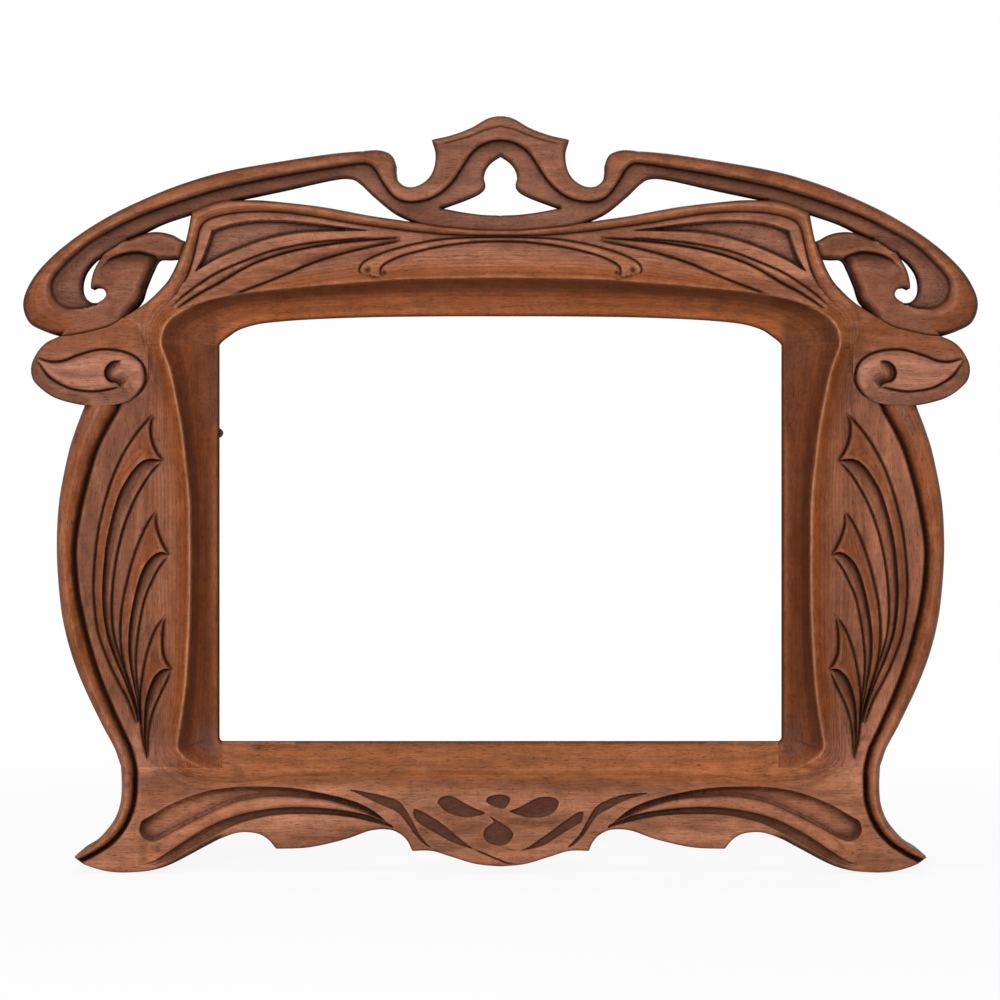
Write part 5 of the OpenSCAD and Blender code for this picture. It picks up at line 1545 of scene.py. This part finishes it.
def crest_face(plan):
    p = folded(plan)
    x, y = p.T
    n = len(p)
    height = np.full(n, 15.0)
    warm, dark = np.full(n, 0.1), np.full(n, 0.12)
    grey = np.full(n, 0.6)
    # Volute: the blade of the leaf and its folded thumb
    gap, side, _ = near(p, SCROLL_FOLD, 40)
    leaf = inside(p, VOLUTE)
    thumb = leaf & (side > 0) & (x > -283)
    blade = leaf & ~thumb
    opened = ease((x + 283) / 26)
    deep = np.min([near(p[thumb], line, 12)[0] for line in THUMB_EDGES], axis=0)
    height[thumb] = 18.4 + 2.8 * np.sqrt(1 - (1 - np.clip(deep / 6.5, 0, 1)) ** 2)
    turn = near(p, TURN, 40)[0]
    root = ease((y[blade] - 376) / 18) * ease((turn[blade] - 1) / 15)
    under = 15.8 + 3.8 * ease(gap[blade] / 19)
    under += (19.6 - under) * (1 - opened[blade])
    height[blade] = 20.5 + (under - 20.5) * root
    height[thumb] += (19.6 - height[thumb]) * (1 - opened[thumb])
    grey[leaf], warm[leaf] = 0.3, 0.4
    # Painted shade along the thumb's edges, on the blade under the fold, and beside the blade's rim
    dark[thumb] = 0.4 * (1 - ease(deep / 3.5)) * opened[thumb]
    dark[blade] = 0.6 * (1 - ease(gap[blade] / 13)) * root * opened[blade]
    rim = near(p[blade], joined(SCROLL_EDGE, SCROLL_TOUCH), 8)[0]
    height[blade] -= 3.4 * (1 - ease(rim / 7)) * root
    dark[blade] = np.maximum(dark[blade], 0.85 * (1 - ease(rim / 6)) * ease((y[blade] - 384) / 8))

    # Band, round on the limbs and flat in the middle
    hit, u = between(p, BAND_OUTER, BAND_INNER, 40)
    limb = ease((-x[hit] - 60) / 40)
    rounded = section(u, [(0, 15.6), (0.1, 17.6), (0.3, 19.4), (0.52, 20.6), (0.72, 21), (0.88, 19.2),
                          (1, 16.6)])
    flat = section(u, [(0, 19.4), (0.1, 20.4), (0.3, 20.8), (0.75, 20.6), (0.93, 19.8), (0.985, 17.6),
                       (1, 15.6)])
    blend = (1 - ease(turn[hit] / 13)) * ease((u - 0.05) / 0.3)
    height[hit] = (flat + (rounded - flat) * limb) * (1 - blend) + 20.5 * blend
    # On the limbs: warm, with painted shade on the outer slope and near the inner edge
    warm[hit] = 0.2 + 0.5 * limb * (1 - ease((u - 0.5) / 0.4))
    grey[hit] = 0.35 - 0.3 * limb
    dark[hit] = limb * (1 - blend) * (0.6 * (1 - ease(u / 0.5)) + 0.3 * ease((u - 0.8) / 0.2))
    # Ground under the limbs, darkened beside the band as a painted shadow, and the bowl beside the volute
    scoop = near(p, BAND_INNER, 12)[0]
    ledge = ~leaf & ~inside(p, joined(BAND_OUTER, BAND_INNER[::-1])) & (x < -100)
    dark[ledge] = 0.2 + 0.25 * (1 - ease(scoop[ledge] / 6))
    grey[ledge] = 0.5
    hollow = ledge & (x < -250) & (y < 440)
    bowl = ease((-x[hollow] - 250) / 20)
    height[hollow] = 15 - 0.6 * bowl + 1.6 * bowl * (1 - ease(scoop[hollow] / 7))
    grey[hollow] = 0.5 + 0.4 * bowl
    height[turn < 0.3] = 20.5
    return height, {"warm": warm, "grey": grey, "dark": dark, "pale": np.zeros(n), "crisp": np.zeros(n),
                    "floor": np.zeros(n)}


CREST_HALF = joined(CREST_BROW, CREST_NOTCH, LIMB_TOP, SHOULDER_SEAT, SCROLL_EDGE, SCROLL_TOUCH,
                    UPPER_GAP, LIMB_LOW, PEAK_SEAT, LIMB_UNDER, BASE_SEAT)
CREST_LOOP = joined(CREST_HALF, other_side(CREST_HALF))[:-1][::-1]
OPENING = joined(PIERCING, PIERCING_FLOOR, other_side(joined(PIERCING, PIERCING_FLOOR)))[:-1]
CREST_LOOPS = [CREST_LOOP, OPENING, EYE_HOLE, other_side(EYE_HOLE)]
FREE = (CREST_BROW, CREST_NOTCH, LIMB_TOP, SCROLL_EDGE, UPPER_GAP, LIMB_LOW, LIMB_UNDER, PIERCING,
        PIERCING_FLOOR, joined(EYE_HOLE, EYE_HOLE[:1]))
CREST_EDGES = (edges_of(FREE, 3.2) + edges_of((SHOULDER_SEAT,), 2.6)
               + edges_of((PEAK_SEAT, BASE_SEAT), 1))
crest_board = carve("crest_carved", walnut_crest, CREST_LOOPS, both_sides(CREST_CUTS), crest_face,
                    CREST_EDGES, rebated=False, seed=5.0)
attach(crest_board, "frame")
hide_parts("crest")

# %% [markdown]
# ## Iron, steel and peg wood
# The buttons and their screws are black iron that has gone brown, the hangers are plain steel rubbed
# bright where it is handled, and the pegs are split walnut seen on its end grain. A metal is one
# colour broken up by a second one, with a roughness that varies the same way: that is what makes it
# look used rather than sprayed.


# %% Metals and peg wood
def old_metal(name, clean, stained, rough, share):
    material, tree = new_material(name)
    where = add(tree, "ShaderNodeTexCoord").outputs["Object"]
    patches = cloudy(tree, where, 420.0, 5.0, 0.65)
    fine = cloudy(tree, where, 2600.0, 2.0)
    stain = stretch(tree, patches, 0.62 - share, 0.72 - 0.5 * share)
    colour = mix(tree, stain, clean, stained)
    gloss = stretch(tree, patches, 0.35, 0.7, rough, rough + 0.25)
    relief = maths(tree, "ADD", patches, fine)
    bump = add(tree, "ShaderNodeBump", {"Height": relief, "Distance": 0.00008, "Strength": 0.5})
    skin = add(tree, "ShaderNodeBsdfPrincipled", {"Base Color": colour, "Metallic": 0.9,
                                                  "Roughness": gloss, "Normal": bump.outputs[0]})
    add(tree, "ShaderNodeOutputMaterial", {0: skin.outputs[0]})
    return material


def end_grain(name):
    material, tree = new_material(name)
    where = add(tree, "ShaderNodeTexCoord").outputs["Object"]
    rings = add(tree, "ShaderNodeTexWave", {"Vector": where, "Scale": 220.0, "Distortion": 2.5,
                                            "Detail": 2.0}).outputs["Fac"]
    pore = add(tree, "ShaderNodeTexVoronoi", {"Vector": where, "Scale": 3200.0}).outputs["Distance"]
    colour = mix(tree, stretch(tree, rings, 0.2, 0.9, 0, 0.6), (0.085, 0.032, 0.016, 1),
                 (0.035, 0.012, 0.006, 1))
    colour = mix(tree, stretch(tree, pore, 0.28, 0.12), colour, WOOD["pore"])
    bump = add(tree, "ShaderNodeBump", {"Height": pore, "Distance": 0.0001, "Strength": 0.5})
    skin = add(tree, "ShaderNodeBsdfPrincipled", {"Base Color": colour, "Roughness": 0.72,
                                                  "Normal": bump.outputs[0], "Specular IOR Level": 0.15})
    add(tree, "ShaderNodeOutputMaterial", {0: skin.outputs[0]})
    return material


black_iron = old_metal("black_iron", (0.045, 0.038, 0.034, 1), (0.085, 0.036, 0.016, 1), 0.42, 0.10)
worn_steel = old_metal("worn_steel", (0.27, 0.26, 0.24, 1), (0.12, 0.095, 0.07, 1), 0.34, 0.08)
peg_wood = end_grain("peg_wood")
print("finishes:", black_iron.name, worn_steel.name, peg_wood.name)

# %% [markdown]
# ## Turned parts
# A screw and a peg are both turned pieces: rows of radius and place, spun round an axis that stands
# square to the back. The screw's thread is the same spin with a little height that climbs as it goes
# round, and the slot is cut last, as on a real screw.

# %% Lathe
SIDES = 24
FACET_ANGLE = math.radians(35)


def closed_mesh(name, verts, polygons):
    """Mesh in millimetres taken to metres, its faces turned outwards if they all face in."""
    verts = np.array(verts, float) * MM
    mesh = bpy.data.meshes.new(name)
    mesh.from_pydata(verts.tolist(), [], polygons)
    volume = sum(verts[f[0]] @ np.cross(verts[f[i]], verts[f[i + 1]])
                 for f in polygons for i in range(1, len(f) - 1))
    if volume < 0:
        mesh.flip_normals()
    mesh.shade_smooth()
    mesh.set_sharp_from_angle(angle=FACET_ANGLE)
    return mesh


def as_modified(thing):
    """New mesh of an object with its modifiers carried out."""
    graph = bpy.context.evaluated_depsgraph_get()
    return bpy.data.meshes.new_from_object(thing.evaluated_get(graph))


def banded(rings, ends=None):
    """Quads between rings of equal length, with fans to two end points or else closed on itself."""
    m, n = len(rings), len(rings[0])
    verts = [point for ring in rings for point in ring]
    polygons = [[i * n + k, i * n + (k + 1) % n, (i + 1) % m * n + (k + 1) % n, (i + 1) % m * n + k]
                for i in range(m - 1 if ends else m) for k in range(n)]
    if ends:
        verts += list(ends)
        polygons += [[m * n, (k + 1) % n, k] for k in range(n)]
        polygons += [[m * n + 1, (m - 1) * n + k, (m - 1) * n + (k + 1) % n] for k in range(n)]
    return verts, polygons


def turned(name, rows, flats=0.0, pitch=1.0):
    """Rows of radius, place and thread height spun round the y axis; flats makes it slightly angular."""
    angles = np.linspace(0, 2 * math.pi, SIDES, endpoint=False)
    rings = []
    for radius, place, thread in rows:
        climb = (place / pitch + angles / (2 * math.pi)) % 1
        r = radius * (1 + flats * np.cos(7 * angles)) + thread * (1 - np.abs(2 * climb - 1))
        rings.append(np.column_stack([r * np.cos(angles), np.full(SIDES, place), r * np.sin(angles)]))
    ends = [(0, rows[0][1], 0), (0, rows[-1][1], 0)]
    return closed_mesh(name, *banded(rings, ends))


# %% [markdown]
# ## Peg and screw
# The pegs are split and whittled, so they are not quite round, and they stand a hair proud of the back
# since the wood shrank round them. A screw has a round head with a slot. Cutting the slot with a
# boolean on one screw is simple, because the copies come later.

# %% Peg and screw
PEG_R, PEG_DEPTH, PEG_PROUD = 2.5, 13.0, 0.3
SCREW_LEN = 11.0
THREAD_PITCH = 1.1


def round_screw(name, shank, head, rise, under):
    """Round-headed wood screw: shank and head widths, head height, and thickness of what it holds."""
    ball = (head**2 / 4 + rise**2) / (2 * rise)
    rows = [(0.3, -SCREW_LEN, 0)]
    for place in np.arange(-SCREW_LEN + 0.2, -3.6, THREAD_PITCH / 5):
        taper = ease((place + SCREW_LEN) / 4.5)
        rows.append((shank / 2 * (0.15 + 0.65 * taper), place, shank * 0.10 * min(1, taper * 2)))
    rows += [(shank / 2, -3.2, 0), (shank / 2, under, 0), (head / 2 - 0.12, under, 0),
             (head / 2, under + 0.12, 0)]
    for k in range(1, 9):
        lift = rise * (1 - (1 - k / 9) ** 1.6)
        rows.append((math.sqrt(max(ball**2 - (lift + ball - rise)**2, 0.02)), under + lift, 0))
    screw = placed(name, turned(name, rows, pitch=THREAD_PITCH))
    x, y, z = head, rise / 2, head / 14
    corners = [(i * x, under + rise + j * y, k * z) for i in (-1, 1) for j in (-1, 1) for k in (-1, 1)]
    sides = [[0, 1, 3, 2], [4, 6, 7, 5], [0, 4, 5, 1], [2, 3, 7, 6], [0, 2, 6, 4], [1, 5, 7, 3]]
    blade = placed("slot_cutter", closed_mesh("slot_cutter", corners, sides))
    slot = screw.modifiers.new("slot", "BOOLEAN")
    slot.operation, slot.object = "DIFFERENCE", blade
    finished = as_modified(screw)
    screw.modifiers.clear()
    screw.data = finished
    bpy.data.objects.remove(blade)
    return screw


peg_rows = [(PEG_R - 0.3, -PEG_DEPTH, 0), (PEG_R, -PEG_DEPTH + 0.5, 0), (PEG_R, -0.2, 0),
            (PEG_R, PEG_PROUD - 0.15, 0), (PEG_R - 0.35, PEG_PROUD, 0)]
peg = placed("peg", turned("peg", peg_rows, flats=0.018))
button_screw = round_screw("button_screw", 2.6, 5.6, 1.6, 1.4)
strap_screw = round_screw("strap_screw", 3.0, 6.0, 1.8, 1.2)
print("faces: peg", len(peg.data.polygons), "screw", len(strap_screw.data.polygons))

# %% [markdown]
# ## Setting parts in their places
# Pegs and screws repeat. A small Geometry Nodes tree sets a copy of one part on every point of a list
# and turns each by a random angle from a fixed seed, as a hand leaves its screws. The result is made
# real, given its finish and kept as a plain mesh.


# %% Tree that sets a part on points
def new_tree(name, inputs):
    tree = bpy.data.node_groups.new(name, "GeometryNodeTree")
    tree.interface.new_socket("Geometry", in_out="INPUT", socket_type="NodeSocketGeometry")
    for key, kind in inputs:
        tree.interface.new_socket(key, in_out="INPUT", socket_type="NodeSocket" + kind)
    tree.interface.new_socket("Geometry", in_out="OUTPUT", socket_type="NodeSocketGeometry")
    return tree, add(tree, "NodeGroupInput").outputs


def close_tree(tree, shape, finish):
    real = add(tree, "GeometryNodeRealizeInstances", {"Geometry": shape})
    painted = add(tree, "GeometryNodeSetMaterial", {"Geometry": real.outputs[0], "Material": finish})
    add(tree, "NodeGroupOutput", {"Geometry": painted.outputs[0]})
    return tree


SETTING, given = new_tree("set_on_points", [("Part", "Object"), ("Finish", "Material"), ("Turn", "Float"),
                                            ("Seed", "Int")])
part = add(SETTING, "GeometryNodeObjectInfo", {"Object": given["Part"]})
turn = add(SETTING, "FunctionNodeRandomValue", {3: given["Turn"], 8: given["Seed"]}, data_type="FLOAT")
spin = add(SETTING, "FunctionNodeAxisAngleToRotation", {"Axis": (0, 1, 0), "Angle": turn.outputs[1]})
copies = add(SETTING, "GeometryNodeInstanceOnPoints", {"Points": given["Geometry"],
                                                       "Instance": part.outputs["Geometry"],
                                                       "Rotation": spin.outputs[0]})
close_tree(SETTING, copies.outputs[0], given["Finish"])
print("setting tree:", len(SETTING.nodes), "nodes")

# %% [markdown]
# ## Running a tree
# A modifier's inputs are known by their identifiers, which the tree's interface lists beside the names.
# After one evaluation the result becomes a plain mesh and the modifier and its carrier are gone.


# %% Runner
def grown(name, tree, verts, edges=(), **values):
    """Plain mesh that a tree makes of some points, with the tree's inputs by name."""
    mesh = bpy.data.meshes.new(name + "_plan")
    mesh.from_pydata((np.array(verts, float) * MM).tolist(), list(edges), [])
    carrier = placed(mesh.name, mesh)
    modifier = carrier.modifiers.new("grown", "NODES")
    modifier.node_group = tree
    for item in tree.interface.items_tree:
        if item.item_type == "SOCKET" and item.in_out == "INPUT" and item.name in values:
            modifier[item.identifier] = values[item.name]
    shape = as_modified(carrier)
    carrier.modifiers.clear()
    bpy.data.objects.remove(carrier)
    shape.name = name
    piece = placed(name, shape)
    print(name, len(shape.polygons), "faces")
    return piece


def belongs(piece, body, node):
    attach(piece, body)
    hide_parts(node)


# %% [markdown]
# ## Pegs and screws in place
# Two pegs pin each tenon, one screw holds each button and two hold each strap. Their places are the
# bored holes of the solids. The dowels under the crest are hidden in the wood: their solids stay and
# only get the peg wood.

# %% Pegs and screws in place
BUTTON_X = 208.5
BUTTON_YS = {"upper": 304.0, "lower": 170.0}
STRAP_X = 232.5
RING_Y = 339.5
PEG_PLACES = [(221.5, 375.5), (229.5, 62.0)]
PEG_HALF_GAP = 8.0
STRAP_SCREW_DOWN = (7.5, 25.0)
HALF_TURN = 3.14


def on_back(x, y):
    return (x, BACK, y - GROUND)


peg_spots = [on_back(side * (x + half), y) for side in (-1, 1) for x, y in PEG_PLACES
             for half in (-PEG_HALF_GAP, PEG_HALF_GAP)]
pegs = grown("walnut_pegs", SETTING, peg_spots, Part=peg, Finish=peg_wood, Turn=2 * HALF_TURN, Seed=4)
belongs(pegs, "frame", "tenon_pegs")
strap_spots = [on_back(side * STRAP_X, RING_Y - down) for side in (-1, 1) for down in STRAP_SCREW_DOWN]
screws = grown("hanger_screws", SETTING, strap_spots, Part=strap_screw, Finish=worn_steel, Turn=HALF_TURN,
               Seed=7)
belongs(screws, "frame", "strap_screws")
for k, (height_name, y) in enumerate(BUTTON_YS.items()):
    for side_name, side in SIDE_SIGNS:
        name = f"{height_name}_{side_name}"
        screw = grown(f"{name}_pivot_screw", SETTING, [on_back(side * BUTTON_X, y)], Part=button_screw,
                      Finish=black_iron, Turn=HALF_TURN, Seed=10 + 2 * k + (side > 0))
        belongs(screw, "frame", f"{name}_button_screw")
for part_object in (peg, button_screw, strap_screw):
    bpy.data.objects.remove(part_object)
for material_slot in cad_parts["crest_dowels"].material_slots:
    material_slot.material = peg_wood

# %% [markdown]
# ## Turn buttons
# A turn button is a strip with round ends, its edges filed off, that swings over the picture's back.
# Its outline and its hole have the same number of points, so a few rings between them make the whole
# piece, closed and without a boolean.

# %% Turn buttons
BUTTON_W, BUTTON_T = 6.5, 1.2
BUTTON_REACH, BUTTON_TAIL = 15.5, 6.0
BUTTON_HOLE = 1.4
BUTTON_LIFT = 0.1


def button_outline(inset):
    r = BUTTON_W / 2
    tip, tail = BUTTON_REACH - r, BUTTON_TAIL - r
    bow = np.linspace(-math.pi / 2, math.pi / 2, 17)
    flank = np.linspace(0, 1, 8)[1:-1]
    r -= inset
    right = np.column_stack([tip + r * np.cos(bow), r * np.sin(bow)])
    left = np.column_stack([-tail - r * np.cos(bow), -r * np.sin(bow)])
    top = np.column_stack([tip - (tip + tail) * flank, np.full(len(flank), r)])
    low = np.column_stack([-tail + (tip + tail) * flank, np.full(len(flank), -r)])
    return np.vstack([right, top, left, low])


def turn_button(name, y, side, angle):
    whole = button_outline(0)
    around = whole / np.hypot(*whole.T)[:, None]
    base = BACK + BUTTON_LIFT
    top = base + BUTTON_T
    rows = [(around * BUTTON_HOLE, base), (button_outline(0.2), base), (whole, base + 0.2),
            (whole, top - 0.35), (button_outline(0.12), top - 0.12), (button_outline(0.42), top),
            (around * (BUTTON_HOLE + 0.9), top), (around * (BUTTON_HOLE + 0.2), top - 0.03),
            (around * BUTTON_HOLE, top - 0.2)]
    c, s = math.cos(angle), math.sin(angle)
    rings = [np.column_stack([side * BUTTON_X - side * (c * row[:, 0] - s * row[:, 1]),
                              np.full(len(row), level),
                              y - GROUND + s * row[:, 0] + c * row[:, 1]]) for row, level in rows]
    button = placed(name, closed_mesh(name, *banded(rings)))
    button.data.materials.append(black_iron)
    print(name, len(button.data.polygons), "faces")
    return button


for height_name, y in BUTTON_YS.items():
    for side_name, side in SIDE_SIGNS:
        node = f"{height_name}_{side_name}_button"
        turned_in = node == "upper_left_button"
        button = turn_button(f"{height_name}_{side_name}_turn_button", y, side,
                             0 if turned_in else math.pi / 2)
        belongs(button, node, node)

# %% [markdown]
# ## Hanging rings
# Each ring is one length of wire bent to a flat-topped loop. A tree that sweeps a round section along
# a closed line makes both from the same few numbers.

# %% Rings
WIRE_R = 1.25
RING_HALF = 9.0
RING_SIDE = 6.0
RING_BEND = 1.9
KNUCKLE_R = 2.55

WIRE, given = new_tree("bent_wire", [("Radius", "Float"), ("Finish", "Material")])
line = add(WIRE, "GeometryNodeMeshToCurve", {"Mesh": given["Geometry"]})
section_ring = add(WIRE, "GeometryNodeCurvePrimitiveCircle", {"Radius": given["Radius"], "Resolution": 20})
swept = add(WIRE, "GeometryNodeCurveToMesh", {"Curve": line.outputs[0],
                                              "Profile Curve": section_ring.outputs[0]})
smooth = add(WIRE, "GeometryNodeSetShadeSmooth", {"Geometry": swept.outputs[0]})
close_tree(WIRE, smooth.outputs[0], given["Finish"])


def ring_line():
    """Closed line of the ring from its straight bar round its round end."""
    bend = np.linspace(math.pi / 2, 0, 8)
    corner = np.column_stack([RING_HALF - RING_BEND + RING_BEND * np.cos(bend),
                              -RING_BEND + RING_BEND * np.sin(bend)])
    bow = np.linspace(0, -math.pi, 41)
    loop = np.column_stack([RING_HALF * np.cos(bow), -RING_SIDE + RING_HALF * np.sin(bow)])
    return np.vstack([corner, loop, (corner * (-1, 1))[::-1]])


for side_name, side in SIDE_SIGNS:
    plan = ring_line()
    spots = np.column_stack([side * STRAP_X + plan[:, 0], np.full(len(plan), BACK + KNUCKLE_R),
                             RING_Y - GROUND + plan[:, 1]])
    links = [(i, (i + 1) % len(plan)) for i in range(len(plan))]
    ring = grown(f"{side_name}_wire_ring", WIRE, spots, links, Radius=WIRE_R * MM, Finish=worn_steel)
    belongs(ring, f"{side_name}_ring", f"{side_name}_hanging_ring")

# %% [markdown]
# ## Straps
# A strap is a steel strip screwed flat to the back and rolled round the bar of its ring. The strip is
# swept along its own bent line with slightly broken edges, and it narrows at its lower end to a half
# round, as a punched strip does.

# %% Straps
STRAP_W, STRAP_T, STRAP_LEN = 10.0, 1.2, 30.0
END_R = STRAP_W / 2
ROLL_R = KNUCKLE_R - STRAP_T / 2
ROLL_END = math.radians(282)
BROKEN = 0.22


def hanger_strap(name, side):
    bow = END_R - END_R * np.cos(np.linspace(0.18, math.pi / 2, 10))
    up = np.concatenate([bow, np.linspace(END_R + 1, STRAP_LEN, 9)])
    wide = STRAP_W * np.sqrt(1 - (1 - np.clip(up / END_R, 0, 1)) ** 2)
    roll = np.linspace(0, ROLL_END, 34)[1:]
    out = np.concatenate([np.full(len(up), STRAP_T / 2), KNUCKLE_R - ROLL_R * np.cos(roll)])
    rise = np.concatenate([up - STRAP_LEN, ROLL_R * np.sin(roll)])
    lean = np.concatenate([np.zeros(len(up)), roll])
    wide = np.concatenate([wide, np.full(len(roll), STRAP_W)])
    rings = []
    for y, z, a, w in zip(out, rise, lean, wide):
        half, thick = w / 2, STRAP_T / 2
        flat, edge = half - BROKEN, thick - BROKEN
        across = np.array([half, half, flat, -flat, -half, -half, -flat, flat])
        through = np.array([-edge, edge, thick, thick, edge, -edge, -thick, -thick])
        rings.append(np.column_stack([side * STRAP_X + across, BACK + y + through * math.cos(a),
                                      RING_Y - GROUND + z - through * math.sin(a)]))
    ends = [rings[0].mean(0), rings[-1].mean(0)]
    strap = placed(name, closed_mesh(name, *banded(rings, ends)))
    strap.data.materials.append(worn_steel)
    print(name, len(strap.data.polygons), "faces")
    return strap


for side_name, side in SIDE_SIGNS:
    belongs(hanger_strap(f"{side_name}_ring_strap", side), "frame",
            f"{side_name}_hanger_strap")
